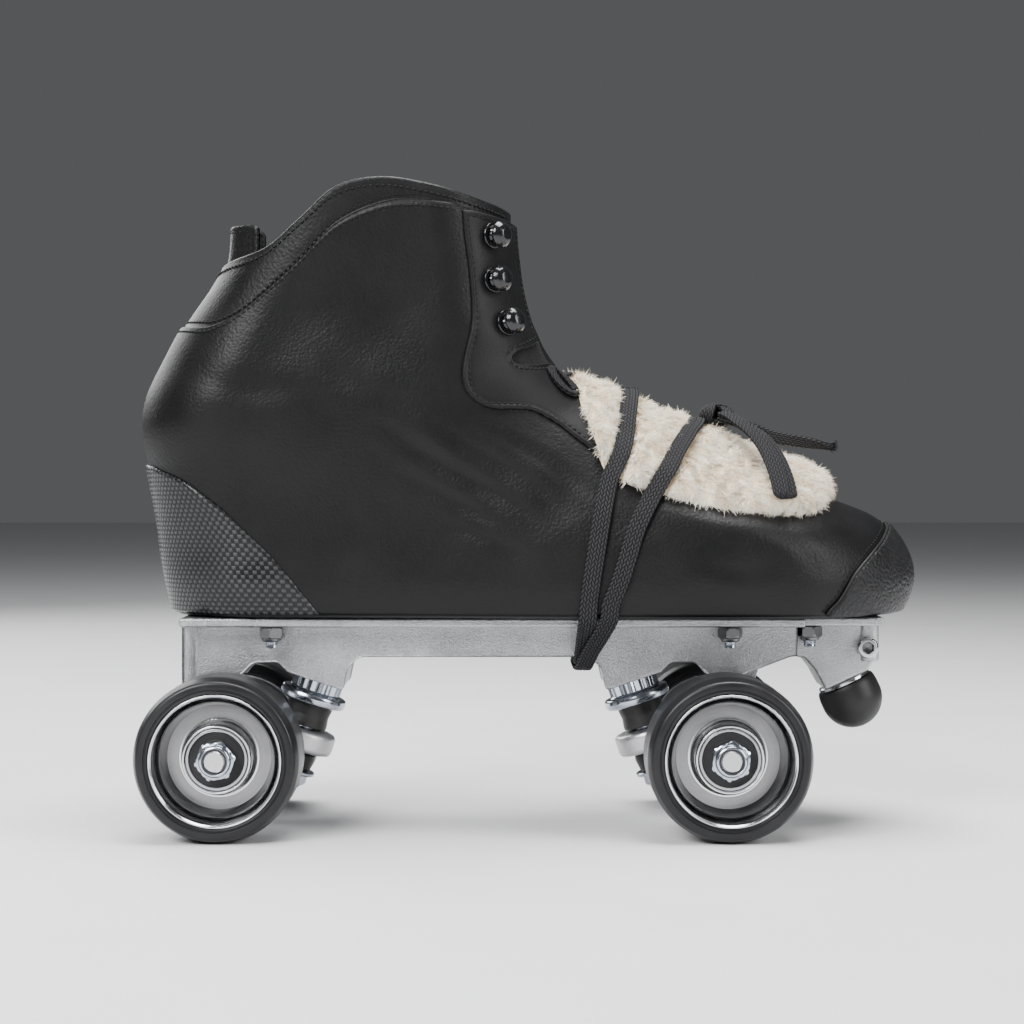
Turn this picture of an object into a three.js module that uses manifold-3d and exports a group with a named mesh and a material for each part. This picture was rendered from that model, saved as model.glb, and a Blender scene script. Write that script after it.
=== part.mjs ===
// A quad roller skate: a right boot on a channel plate with two trucks and four wheels.
// Millimetres. +X points to the toe, +Y to the inner side of the foot, +Z up.
// The origin is on the floor under the middle of the skate.
import * as THREE from "three";
import { mergeVertices } from "three/addons/utils/BufferGeometryUtils.js";
import Module from "manifold-3d";

const wasm = await Module();
wasm.setup();

const gap = 0.3; // between pieces that touch

// Wheels: y in a wheel's own frame points out of the skate from its middle plane.
const wheelRadius = 29;
const wheelSides = 20;
const rimRadius = 23.4;
const lipRadius = 22.3;
const recessRadius = 19.5;
const bossRadius = 12.4;
const hubBore = 8.5;
const halfTread = 16;
const trackHalf = 42;
const bearingRadius = 11;
const bearingFace = 10;
const bearingWidth = 7;
const axleRadius = 3.9;
const axleHalf = trackHalf + 17;
const axleBore = axleRadius + gap + 0.1;

// Trucks: x in a truck's own frame points from its axle to the near end of the skate.
const rearAxleX = -110.1;
const frontAxleX = 69.1;
const kingpinTilt = THREE.MathUtils.degToRad(18.5);
const kingpinSeat = new THREE.Vector3(-32, 0, 53.65);
const kingpinRadius = 4;
const pinBore = kingpinRadius + gap + 0.2;
const eyeDepth = 23.4; // from the plate's slanted seat to the middle of the hanger's eye
const eyeHeight = 8;
const eyeRadius = 13;
const cushionRoom = 1; // the eye tilts between its cushions
const pivotTip = new THREE.Vector3(6, 0, 54);
const pivotRadius = 4;
const hubHousing = 24.5;

// Plate
const plateTop = 77;
const flangeUnder = 73.7;
const rearEnd = -126.5;
const noseStart = 96.4;
const noseEnd = 127.5;
const webOuter = 20;
const webInner = 16;
const flangeHalf = 29.5;
const noseHalf = 12;
const noseFlangeHalf = 22;
const bridgeUnder = 62.5;
const boltXs = [-93.5, 71.7];
const noseBoltX = 101.4;
const boltY = 25;
const noseBoltY = 17;
const clampX = 122.8;
const clampZ = 65.4;

// Toe stop
const stopSeat = new THREE.Vector3(115.75, 0, 53.4);
const stopAxis = new THREE.Vector3(0.421, 0, -0.907).normalize();
const stopRadius = 11.3;
const stopCentre = 8;
const stopStem = 6;

// Boot
const soleBottom = plateTop + gap;
const soleTop = 80.3;
const upperBottom = soleTop + gap;
const cavityFloor = 84.5;
const upperWall = 4;
const throatHalf = 9;
const vampBack = 60; // where the quarters meet the vamp
const throatFoot = 168;
const overlayLow = 1.7; // overlays stand this far off the upper
const overlayHigh = 2.5;
const tongueLow = 3.4;
const tongueBack = 12;
const tongueFront = 111;
const counterTop = 132;
const capTop = 108;
const facingBack = -24;
const facingFoot = 154;
const facingTop = 222;
const facingInset = 2.4; // behind the boot's front line
const tabFoot = 201;
const tabTop = 220.5;
const tabHalf = 12;
const tabThick = 2.5;

const black = 0x101012;
const finishes = {
  leather: { color: black, roughness: 0.5, metalness: 0 },
  carbon: { color: 0x16171a, roughness: 0.25, metalness: 0.2 },
  fleece: { color: 0xe9dcc4, roughness: 0.95, metalness: 0 },
  lace: { color: 0x0c0c0d, roughness: 0.85, metalness: 0 },
  enamel: { color: 0x060607, roughness: 0.12, metalness: 0.1 },
  aluminium: { color: 0xb9bbbe, roughness: 0.35, metalness: 0.9 },
  zinc: { color: 0xc6ccd4, roughness: 0.2, metalness: 1 },
  rubber: { color: 0x0a0a0a, roughness: 0.6, metalness: 0 },
  urethane: { color: 0x0d0d0f, roughness: 0.4, metalness: 0 },
  steel: { color: 0xd5d6d8, roughness: 0.25, metalness: 1 },
};

function makeMesh(name, geometry, finish) {
  const mesh = new THREE.Mesh(geometry, new THREE.MeshStandardMaterial(finishes[finish]));
  mesh.name = name;
  return mesh;
}

// Manifold solids for joining and cutting.
function toSolid(geometry) {
  const plain = geometry.clone();
  plain.deleteAttribute("normal");
  plain.deleteAttribute("uv");
  const merged = mergeVertices(plain, 1e-3);
  const mesh = new wasm.Mesh({
    numProp: 3,
    vertProperties: new Float32Array(merged.attributes.position.array),
    triVerts: new Uint32Array(merged.index.array),
  });
  return new wasm.Manifold(mesh);
}

function toGeometry(solid) {
  const mesh = solid.getMesh();
  const geometry = new THREE.BufferGeometry();
  geometry.setAttribute("position", new THREE.BufferAttribute(new Float32Array(mesh.vertProperties), 3));
  geometry.setIndex(Array.from(mesh.triVerts));
  const flat = geometry.toNonIndexed();
  flat.computeVertexNormals();
  return flat;
}

function joined(geometries) {
  return geometries.map(toSolid).reduce((all, one) => all.add(one));
}

function cut(solid, geometries) {
  return geometries.map(toSolid).reduce((left, one) => left.subtract(one), solid);
}

// A turned solid about +Y. The radii are measured to the flats.
function turned(profile, sides) {
  const out = 1 / Math.cos(Math.PI / sides);
  const points = profile.map(([r, y]) => new THREE.Vector2(r * out, y));
  return new THREE.LatheGeometry(points, sides, Math.PI / sides);
}

function rod(radius, from, to, sides) {
  return turned([[0, from], [radius, from], [radius, to], [0, to]], sides);
}

function ring(outer, inner, from, to, sides) {
  return turned([[outer, from], [outer, to], [inner, to], [inner, from], [outer, from]], sides);
}

function box(x0, x1, halfY, z0, z1) {
  const geometry = new THREE.BoxGeometry(x1 - x0, 2 * halfY, z1 - z0);
  return geometry.translate((x0 + x1) / 2, 0, (z0 + z1) / 2);
}

// A side-view outline in X and Z, as thick as twice halfY.
function slab(outline, halfY) {
  const shape = new THREE.Shape(outline.map(([x, z]) => new THREE.Vector2(x, z)));
  const geometry = new THREE.ExtrudeGeometry(shape, { depth: 2 * halfY, bevelEnabled: false });
  return geometry.rotateX(Math.PI / 2).translate(0, halfY, 0);
}

function hexPrism(acrossFlats, from, to) {
  return turned([[0, from], [acrossFlats / 2, from], [acrossFlats / 2, to], [0, to]], 6);
}

// Turns geometry made along +Y to run along a direction from a point.
function aimed(geometry, point, direction) {
  const turn = new THREE.Quaternion().setFromUnitVectors(new THREE.Vector3(0, 1, 0), direction);
  return geometry.applyQuaternion(turn).translate(point.x, point.y, point.z);
}

// ---- wheels

function tyre() {
  const side = halfTread;
  const inner = rimRadius + gap;
  return turned(
    [
      [inner, -side + 1],
      [26, -side],
      [28.2, -side + 1.6],
      [wheelRadius, -side + 4],
      [wheelRadius, side - 4],
      [28.2, side - 1.6],
      [26, side],
      [inner, side - 1],
      [inner, -side + 1],
    ],
    wheelSides,
  );
}

function hub() {
  const seat = bearingRadius + gap;
  const outerStop = bearingFace - bearingWidth - gap;
  return turned(
    [
      [rimRadius, -14.5],
      [rimRadius, halfTread],
      [lipRadius, halfTread],
      [recessRadius, 1],
      [bossRadius + 0.4, 1],
      [bossRadius, bearingFace + 0.8],
      [seat, bearingFace + 0.8],
      [seat, outerStop],
      [hubBore, outerStop],
      [hubBore, -13.5],
      [bossRadius, -13.5],
      [bossRadius + 0.4, -3],
      [recessRadius, -3],
      [lipRadius, -14.5],
      [rimRadius, -14.5],
    ],
    wheelSides,
  );
}

function axleNut() {
  const nut = hexPrism(13, bearingFace + gap, axleHalf - trackHalf - 0.2);
  return toGeometry(cut(toSolid(nut), [rod(axleBore, 0, 30, 12)]));
}

function makeWheel(end, side) {
  const wheel = new THREE.Group();
  const label = `${end}_${side}`;
  wheel.add(makeMesh(`${label}_tyre`, tyre(), "urethane"));
  wheel.add(makeMesh(`${label}_hub`, hub(), "aluminium"));
  const bearing = ring(bearingRadius, axleBore, bearingFace - bearingWidth, bearingFace, 16);
  wheel.add(makeMesh(`${label}_bearing`, bearing, "steel"));
  wheel.add(makeMesh(`${label}_axle_nut`, axleNut(), "steel"));
  const out = side === "inner" ? 1 : -1;
  wheel.position.set(end === "rear" ? rearAxleX : frontAxleX, out * trackHalf, wheelRadius);
  wheel.rotation.z = out > 0 ? 0 : Math.PI;
  return wheel;
}

// ---- trucks

const kingpinAxis = new THREE.Vector3(Math.sin(kingpinTilt), 0, -Math.cos(kingpinTilt));
const eyeCentre = kingpinSeat.clone().addScaledVector(kingpinAxis, eyeDepth);
const steerAxis = pivotTip.clone().sub(eyeCentre).normalize();

function onKingpin(geometry) {
  return aimed(geometry, kingpinSeat, kingpinAxis);
}

function adjustingCup() {
  const body = [[9.6, gap], [9.6, 5.3], [12.5, 5.8], [12.5, 9.2], [11.6, 9.7]];
  return onKingpin(turned([[pinBore, gap], ...body, [pinBore, 9.7], [pinBore, gap]], 20));
}

function hanger() {
  const axle = new THREE.Vector3(0, 0, wheelRadius);
  const along = new THREE.Vector3(0, 1, 0);
  const eyeFrom = eyeDepth - eyeHeight / 2;
  const eye = onKingpin(rod(eyeRadius, eyeFrom, eyeFrom + eyeHeight, 20));
  const housing = aimed(rod(7.5, -hubHousing, hubHousing, 16), axle, along);
  const link = slab([[-24, 30.5], [-13, 31.5], [-8, 25], [0, 22.5], [2, 35.5], [-20, 36]], 11);
  const neck = slab([[-9, 31], [6, 31], [3.5, 51], [-1.5, 51.5], [-8, 44]], 6.5);
  const pivotFrom = pivotTip.distanceTo(eyeCentre);
  const pin = aimed(rod(pivotRadius, pivotFrom - 14, pivotFrom, 12), eyeCentre, steerAxis);
  const whole = joined([eye, housing, link, neck, pin]);
  const eyeBore = onKingpin(rod(5.6, eyeFrom - 8, eyeFrom + eyeHeight + 8, 12));
  const axleHole = aimed(rod(axleBore, -30, 30, 12), axle, along);
  return toGeometry(cut(whole, [eyeBore, axleHole]));
}

function kingpinNut(from) {
  const washer = rod(9.5, from, from + 1.6, 16);
  const nut = hexPrism(13, from + 1.5, from + 7);
  const bore = rod(pinBore, from - 5, from + 12, 12);
  return onKingpin(toGeometry(cut(joined([washer, nut]), [bore])));
}

function makeTruck(end) {
  const truck = new THREE.Group();
  const eyeFrom = eyeDepth - eyeHeight / 2;
  const lowerFrom = eyeFrom + eyeHeight + cushionRoom;
  const lowerTo = lowerFrom + 6;
  const upper = ring(8.2, pinBore, 9.7 + gap, eyeFrom - cushionRoom, 16);
  const lower = ring(8, pinBore, lowerFrom, lowerTo, 16);
  const axle = rod(axleRadius, -axleHalf, axleHalf, 12).translate(0, 0, wheelRadius);
  truck.add(makeMesh(`${end}_hanger`, hanger(), "aluminium"));
  truck.add(makeMesh(`${end}_axle`, axle, "steel"));
  truck.add(makeMesh(`${end}_kingpin`, onKingpin(rod(kingpinRadius, -12, lowerTo + 7.4, 12)), "zinc"));
  truck.add(makeMesh(`${end}_adjusting_cup`, adjustingCup(), "zinc"));
  truck.add(makeMesh(`${end}_upper_cushion`, onKingpin(upper), "rubber"));
  truck.add(makeMesh(`${end}_lower_cushion`, onKingpin(lower), "rubber"));
  truck.add(makeMesh(`${end}_kingpin_nut`, kingpinNut(lowerTo + gap), "zinc"));
  placeTruck(truck, end);
  return truck;
}

function placeTruck(object, end) {
  object.position.x = end === "rear" ? rearAxleX : frontAxleX;
  object.rotation.z = end === "rear" ? Math.PI : 0;
}

// ---- plate

// The web's lower edge over one truck, from its inboard side out, in the truck's frame.
const truckEdge = [
  [-48, bridgeUnder],
  [-43.8, 58.5],
  [-42, 50.3],
  [-22, 57],
  [-18.5, 60.5],
  [-9.5, 60.5],
  [-4.5, 55.4],
  [-3, 53.5],
  [4.9, 53.5],
];

function webOutline() {
  const rear = truckEdge.map(([x, z]) => [rearAxleX - x, z]).reverse();
  const front = truckEdge.map(([x, z]) => [frontAxleX + x, z]);
  return [
    [noseStart, plateTop - 1],
    [rearEnd, plateTop - 1],
    [rearEnd, 51.5],
    [rearAxleX - 7, 51.5],
    ...rear,
    ...front,
    [77.5, 56.3],
    [93.8, 62.5],
    [noseStart, 62.8],
  ];
}

function noseOutline() {
  return [
    [noseStart - 1, plateTop - 1],
    [noseStart - 1, 62.4],
    [100.3, 61.4],
    [104, 57],
    [108, 49.8],
    [123.5, 57],
    [127.2, 63.2],
    [noseEnd, plateTop - 1],
  ];
}

// Hollows between the webs, as inboard and outboard ends of each stretch.
function channelPockets() {
  const ceiling = flangeUnder - 1.2;
  const floor = 40;
  const rearKingpin = rearAxleX - kingpinSeat.x;
  const frontKingpin = frontAxleX + kingpinSeat.x;
  const reach = 13; // half the length of the solid block round a kingpin
  return [
    box(rearKingpin + reach, frontKingpin - reach, webInner, floor, ceiling),
    box(rearAxleX - 1, rearKingpin - reach, webInner, floor, ceiling),
    box(frontKingpin + reach, frontAxleX + 1, webInner, floor, ceiling),
    box(frontAxleX + 14, noseStart - 3, webInner, floor, ceiling),
  ];
}

function truckBores(end) {
  const pin = aimed(rod(pinBore, -14, 4, 12), kingpinSeat, kingpinAxis);
  const tip = pivotTip.distanceTo(eyeCentre);
  const socket = aimed(rod(pivotRadius + 1.5, tip - 14, tip + 1, 12), eyeCentre, steerAxis);
  const frame = new THREE.Object3D();
  placeTruck(frame, end);
  frame.updateMatrix();
  return [pin, socket].map((bore) => bore.applyMatrix4(frame.matrix));
}

function boltPlaces() {
  const places = [];
  for (const side of [-1, 1]) {
    for (const x of boltXs) places.push([x, side * boltY]);
    places.push([noseBoltX, side * noseBoltY]);
  }
  return places;
}

function upright(geometry, x, y) {
  return geometry.rotateX(Math.PI / 2).translate(x, y, 0);
}

function plate() {
  const web = slab(webOutline(), webOuter);
  const nose = slab(noseOutline(), noseHalf);
  const flange = box(rearEnd, noseStart, flangeHalf, flangeUnder, plateTop);
  const noseFlange = box(noseStart - 1, noseEnd, noseFlangeHalf, flangeUnder, plateTop);
  const holes = boltPlaces().map(([x, y]) => upright(rod(2.8, 60, 90, 12), x, y));
  const stem = aimed(rod(stopStem + gap, -18.5, 5, 16), stopSeat, stopAxis);
  const clamp = rod(2.9, -40, 40, 12).translate(clampX, 0, clampZ);
  const bores = [...truckBores("rear"), ...truckBores("front"), ...holes, stem, clamp];
  return toGeometry(cut(joined([web, nose, flange, noseFlange]), [...channelPockets(), ...bores]));
}

function mountingBolt(x, y) {
  const stud = rod(2.4, 66, plateTop - 0.1, 8);
  const nut = hexPrism(8, 68.4, flangeUnder - gap);
  return upright(toGeometry(joined([stud, nut])), x, y);
}

function clampScrew() {
  const outer = noseHalf;
  const shank = rod(2.4, -outer, outer + 4.2, 12);
  const head = rod(3.7, outer + gap, outer + 4.2, 16);
  return toGeometry(joined([shank, head])).rotateZ(Math.PI).translate(clampX, 0, clampZ);
}

function stopStemSolid() {
  const profile = [
    [0, -17],
    [stopStem, -17],
    [stopStem, gap],
    [10, gap],
    [10, 2.2],
    [kingpinRadius, 2.2],
    [kingpinRadius, 7],
    [0, 7],
  ];
  return aimed(turned(profile, 16), stopSeat, stopAxis);
}

function stopBall() {
  const start = 2.5;
  const socket = kingpinRadius + 0.4;
  const profile = [[0, 7.5], [socket, 7.5], [socket, start]];
  const first = Math.acos((start - stopCentre) / stopRadius);
  const steps = 7;
  for (let i = 0; i <= steps; i++) {
    const angle = first * (1 - i / steps);
    profile.push([stopRadius * Math.sin(angle), stopCentre + stopRadius * Math.cos(angle)]);
  }
  profile[profile.length - 1][0] = 0;
  return aimed(turned(profile, 16), stopSeat, stopAxis);
}

// ---- boot: at each height a slice runs from the back line to the front line

const backLine = [[78, -131.6], [90, -134.4], [108, -137.2], [130, -141], [145, -143.8],
  [156, -142.2], [167, -137.6], [183, -129], [205, -114.6], [222, -105], [240, -97]];
const frontLine = [[78, 136.8], [84, 139.8], [91, 141.3], [100, 139.2], [109, 133], [115, 125],
  [119.5, 112], [127.3, 92], [139.6, 62], [152.6, 33], [166.7, 11], [180.4, 3.6],
  [189.7, -0.2], [200.8, -3.1], [212, -4.6], [225.7, -5.7], [240, -6.5]];
const frontRounding = [[80, 44], [95, 46], [108, 60], [116, 90], [130, 100], [150, 90],
  [165, 55], [180, 38], [200, 32], [240, 32]];
const backRounding = 35;
const footHalfWidth = [[-143, 30], [-110, 33.5], [-60, 35.5], [-20, 38], [20, 43.5], [60, 48],
  [95, 46], [125, 39], [144, 32]];
const shaftHalfWidth = [[100, 35], [130, 37.5], [155, 39], [185, 38], [210, 40], [240, 43]];
const middleLine = [[-143, 0], [-60, 0], [0, -1], [60, 1], [110, 4], [144, 7]];
const collarLine = [[-120, 202], [-113.5, 204.5], [-95.5, 209], [-82.4, 219.1], [-69.7, 229.4],
  [-53.8, 233], [-36, 230.5], [-18.3, 226.2], [-5.8, 223.3], [0, 221]];

// The value at a place on a smooth line through [place, value] points.
function follow(line, at) {
  let i = 0;
  while (i < line.length - 2 && at > line[i + 1][0]) i++;
  const slope = (k) => {
    const before = line[Math.max(k - 1, 0)];
    const after = line[Math.min(k + 1, line.length - 1)];
    return (after[1] - before[1]) / (after[0] - before[0]);
  };
  const [x0, y0] = line[i];
  const [x1, y1] = line[i + 1];
  const width = x1 - x0;
  const t = THREE.MathUtils.clamp((at - x0) / width, 0, 1);
  const rise = (1 - t) ** 2 * t * slope(i) * width - (1 - t) * t * t * slope(i + 1) * width;
  return y0 * (1 + 2 * t) * (1 - t) ** 2 + y1 * (3 - 2 * t) * t * t + rise;
}

function roundedSquared(distance, radius) {
  return distance >= radius ? 1 : 1 - (1 - distance / radius) ** 2;
}

// The square of the boot's half width at a place in the side view. It is under 0 off the boot.
function halfWidthSquared(x, z) {
  const shaft = THREE.MathUtils.smoothstep(z, 100, 150);
  const full = THREE.MathUtils.lerp(follow(footHalfWidth, x), follow(shaftHalfWidth, z), shaft);
  const tuck = 1 - 0.07 * (Math.max(92 - z, 0) / 14) ** 2;
  const back = roundedSquared(x - follow(backLine, z), backRounding);
  const front = roundedSquared(follow(frontLine, z) - x, follow(frontRounding, z));
  return (full * tuck) ** 2 * Math.min(back, 1) * front;
}

// Turn 0 is the middle of the heel, and half a turn is the toe, by way of the outer side.
function bootPoint(turn, z) {
  const back = follow(backLine, z);
  const front = follow(frontLine, z);
  const x = (back + front) / 2 - ((front - back) / 2) * Math.cos(turn);
  const half = Math.sqrt(Math.max(halfWidthSquared(x, z), 0));
  return new THREE.Vector3(x, follow(middleLine, x) - Math.sign(Math.sin(turn)) * half, z);
}

function turnAt(x, z) {
  const back = follow(backLine, z);
  const front = follow(frontLine, z);
  return Math.acos(THREE.MathUtils.clamp(((back + front) / 2 - x) / ((front - back) / 2), -1, 1));
}

function bootNormal(point) {
  const step = 0.5;
  const level = (x, y, z) => (y - follow(middleLine, x)) ** 2 - halfWidthSquared(x, z);
  const { x, y, z } = point;
  return new THREE.Vector3(
    level(x + step, y, z) - level(x - step, y, z),
    level(x, y + step, z) - level(x, y - step, z),
    level(x, y, z + step) - level(x, y, z - step),
  ).normalize();
}

function lifted(point, distance) {
  return point.clone().addScaledVector(bootNormal(point), distance);
}

// The point of the boot's top or side at x and y.
function bootAt(x, y) {
  const wanted = (y - follow(middleLine, x)) ** 2;
  let low = 92;
  let high = 226;
  for (let i = 0; i < 40; i++) {
    const middle = (low + high) / 2;
    if (halfWidthSquared(x, middle) > wanted) low = middle;
    else high = middle;
  }
  return new THREE.Vector3(x, y, low);
}

// A closed surface through rings of points, with a zigzag of triangles over each end.
function skin(rings) {
  const count = rings[0].length;
  const points = rings.flat();
  const faces = [];
  for (let j = 0; j < rings.length - 1; j++) {
    for (let i = 0; i < count; i++) {
      const a = j * count + i;
      const b = j * count + ((i + 1) % count);
      faces.push([a, b, b + count], [a, b + count, a + count]);
    }
  }
  const last = (rings.length - 1) * count;
  for (let low = 0, high = count - 1; high - low >= 2; low++, high--) {
    faces.push([low + 1, low, high], [last + low, last + low + 1, last + high]);
    if (high - low < 3) continue;
    faces.push([high - 1, low + 1, high], [last + low + 1, last + high - 1, last + high]);
  }
  const volume = faces.reduce((sum, [a, b, c]) => {
    return sum + points[a].dot(points[b].clone().cross(points[c]));
  }, 0);
  const corners = faces.flatMap(([a, b, c]) => (volume > 0 ? [a, b, c] : [a, c, b]));
  const geometry = new THREE.BufferGeometry().setFromPoints(corners.map((i) => points[i]));
  geometry.computeVertexNormals();
  return geometry;
}

// A sheet over the boot between two heights off its surface. placeAt gives its middle surface.
function overlay(placeAt, across, along, low, high) {
  const rings = [];
  for (let i = 0; i <= along; i++) {
    const row = [];
    for (let j = 0; j <= across; j++) row.push(placeAt(i / along, j / across));
    const top = row.map((p, j) => lifted(p, high(i / along, j / across)));
    rings.push([...top, ...row.map((p) => lifted(p, low)).reverse()]);
  }
  return skin(rings);
}

function around(count, pointAt) {
  return Array.from({ length: count }, (_, i) => pointAt((2 * Math.PI * i) / count));
}

function rimHeight(turn) {
  let z = 220;
  for (let i = 0; i < 12; i++) z = (z + follow(collarLine, bootPoint(turn, z).x)) / 2;
  return z;
}

// The upper in two pieces: the quarters with the shaft, and the vamp over the toes.
function bootUpper() {
  const count = 32;
  const levels = 16;
  const innerLevels = 8;
  const rings = [];
  for (let k = 0; k <= levels; k++) {
    const rise = k / levels;
    rings.push(around(count, (turn) => {
      return bootPoint(turn, THREE.MathUtils.lerp(upperBottom, rimHeight(turn), rise));
    }));
  }
  for (let k = innerLevels; k >= 0; k--) {
    const rise = k / innerLevels;
    rings.push(around(count, (turn) => {
      const z = THREE.MathUtils.lerp(cavityFloor + 2, rimHeight(turn), rise);
      const point = lifted(bootPoint(turn, z), -upperWall);
      if (k === 0) point.z = cavityFloor;
      if (k === innerLevels) point.z = z;
      return point;
    }));
  }
  const throat = box(-40, 40, throatHalf, throatFoot, 260);
  const rear = box(-200, vampBack + gap / 2, 80, 0, 260);
  const front = box(vampBack - gap / 2, 200, 80, 0, 260);
  const whole = cut(toSolid(skin(rings)), [throat]);
  return [front, rear].map((half) => toGeometry(cut(whole, [half])));
}

function soleLayer(from, to, level, inset) {
  const outline = around(32, (turn) => lifted(bootPoint(turn, level), -inset));
  const flat = (z) => outline.map((p) => new THREE.Vector3(p.x, p.y, z));
  return skin([flat(from), flat(to)]);
}

const always = (value) => () => value;

function heelCounter() {
  const edge = [[78, -75.5], [87.3, -82.7], [98, -91.6], [110.5, -104.4], [123, -118.8],
    [130.2, -131.3], [133, -140]];
  const placeAt = (rise, over) => {
    const z = THREE.MathUtils.lerp(upperBottom, counterTop, rise);
    return bootPoint(turnAt(follow(edge, z), z) * (2 * over - 1), z);
  };
  return overlay(placeAt, 16, 7, overlayLow, always(overlayHigh));
}

function toeCap() {
  const edge = [[78, 104], [83.4, 108.9], [92.4, 114.7], [100, 122.6], [109, 132.6]];
  const placeAt = (rise, over) => {
    const z = THREE.MathUtils.lerp(upperBottom, capTop, rise);
    const from = turnAt(follow(edge, z), z);
    return bootPoint(THREE.MathUtils.lerp(from, 2 * Math.PI - from, over), z);
  };
  return overlay(placeAt, 12, 5, overlayLow, always(overlayHigh));
}

function tongue() {
  const halfWidth = [[12, 16], [25, 28], [43, 35], [68, 36], [97, 30], [111, 17]];
  const thickness = [[12, 4], [34, 5.6], [60, 7], [96, 7], [111, 3]];
  const placeAt = (along, over) => {
    const x = THREE.MathUtils.lerp(tongueBack, tongueFront, along);
    return bootAt(x, follow(middleLine, x) + follow(halfWidth, x) * (2 * over - 1));
  };
  const high = (along, over) => {
    const full = follow(thickness, THREE.MathUtils.lerp(tongueBack, tongueFront, along));
    return tongueLow + full * (1 - 0.8 * (2 * over - 1) ** 2);
  };
  return overlay(placeAt, 10, 12, tongueLow, high);
}

// side is -1 on the outer side of the foot and 1 on the inner side.
function facing(side) {
  const placeAt = (rise, over) => {
    const z = THREE.MathUtils.lerp(facingFoot, facingTop, rise);
    const from = turnAt(facingBack, z);
    const to = turnAt(follow(frontLine, z) - facingInset, z);
    return bootPoint(-side * THREE.MathUtils.lerp(from, to, over), z);
  };
  return overlay(placeAt, 5, 8, overlayLow, always(overlayHigh));
}

function pullTab() {
  const backEdge = [[200, -112], [205, -109.9], [213, -108.8], [220.5, -108.4]];
  const rings = [];
  for (let i = 0; i <= 4; i++) {
    const z = THREE.MathUtils.lerp(tabFoot, tabTop, i / 4);
    const row = [];
    for (let y = -tabHalf; y <= tabHalf; y += 6) row.push([follow(backEdge, z) + 0.014 * y * y, y]);
    const outer = row.map(([x, y]) => new THREE.Vector3(x, y, z));
    const inner = row.map(([x, y]) => new THREE.Vector3(x + tabThick, y, z));
    rings.push([...outer, ...inner.reverse()]);
  }
  return skin(rings);
}

const hookPlaces = [[-14.9, 214.0], [-14.3, 198.0], [-9.6, 182.6]];

function speedHook(x, z, side) {
  const profile = [[0, 3], [4.4, 3], [4.4, 3.9], [2, 4.2], [2, 6.6], [4.2, 7.1], [3.6, 9.2],
    [0, 9.8]];
  const point = bootPoint(-side * turnAt(x, z), z);
  return aimed(turned(profile, 8), point, bootNormal(point));
}

// ---- laces: two straps wind round the boot and under the plate, and cross there

const laceHalfWidth = 2.7;
const laceHalfThick = 0.8;
const bootMiddle = 102; // height of the line that the laces face away from

const rearWrapRoute = [
  [36.5, 1, 163.4], [36.5, -6, 162.9], [36.3, -13, 161], [35.6, -20, 157.6],
  [34.6, -27.5, 151.7], [33.8, -32.2, 146], [33, -35.4, 141.5], [32, -37.4, 137.5],
  [30, -38.9, 132.5], [27.4, -41, 126.5], [25, -44.6, 115.5], [23.3, -45.9, 105.5],
  [21.5, -45.9, 94], [20.2, -44.9, 84], [19.9, -44.2, 79.3], [19.6, -42.5, 75.8],
  [19.2, -36, 71.3], [18.9, -29, 66.5], [18.7, -24.9, 63.5], [18.6, -22, 61.3],
  [18.5, -18.5, 60.6], [18.5, 0, 60.6], [18.5, 18.5, 60.6], [18.8, 22, 61.3],
  [19.4, 24.9, 63.5], [20.8, 29.5, 66.8], [23.5, 37, 71.9], [26.5, 43.4, 76.3],
  [27.5, 44.9, 79.5], [27.9, 45.3, 83], [31, 46.6, 91], [33.5, 46.9, 99],
  [36.5, 46.7, 109], [39.5, 46, 115.5], [43, 44, 122], [46.6, 42.2, 128],
  [48.6, 40.4, 131.5], [50.5, 37.8, 135.5], [52.5, 34.4, 139.2], [55.5, 28.6, 144],
  [58, 21.5, 148.2], [60, 14.5, 150.8], [61, 8, 152.3], [61.6, 2.8, 152.6],
];
const frontWrapRoute = [
  [61.6, -2.5, 152.8], [61, -8, 152.1], [60, -14, 150.5], [58, -20.5, 148.5],
  [55.5, -27, 144.6], [52.5, -32.8, 139.2], [50.5, -36, 135], [48.6, -39, 131.3],
  [46.6, -40.8, 128], [43, -42.9, 122], [39.5, -45.3, 115.5], [36.5, -46.6, 108.9],
  [33.5, -47, 99], [31, -46.9, 91], [27.9, -45.6, 83], [27.5, -44.7, 79.5],
  [27, -43.4, 76.6], [24.4, -39.4, 71.4], [21.3, -31.2, 65.2], [19.9, -26.6, 61.6],
  [19, -22.8, 59.2], [18.6, -18.5, 58.4], [18.4, 0, 58.4], [18.6, 18.5, 58.4],
  [19, 22.8, 59.2], [19.2, 26.8, 61.3], [19.2, 31.2, 65.2], [19.1, 38.6, 70.8],
  [19.5, 42.3, 75.6], [19.9, 43.5, 79.5], [20.2, 43.9, 84], [21.5, 44.9, 94],
  [23.3, 45, 105.5], [25, 44.2, 115.5], [27.4, 40.8, 126.5], [30, 38.6, 132.5],
  [32, 37, 137.5], [33, 35, 141.7], [33.8, 32, 145.8], [34.6, 27.2, 151.4],
  [35.6, 20, 157.4], [36.2, 13, 161], [36.5, 6.5, 163],
];
const bowLoopRoute = [
  [71, -7.5, 150.2], [76, -11.5, 147.5], [81, -16, 144.2], [85.5, -21, 140.4],
  [89, -26, 135.5], [91.3, -31.3, 129.9], [92.8, -35.6, 124.4], [93.2, -38, 120.8],
];
const freeEndRoute = [
  [74.5, -1.5, 149.2], [79, -1.5, 146.8], [84, -1, 144.8], [90, 0, 142.6],
  [97, 1.5, 141.4], [104, 3, 140.4], [112.3, 4.5, 139],
];

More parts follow.
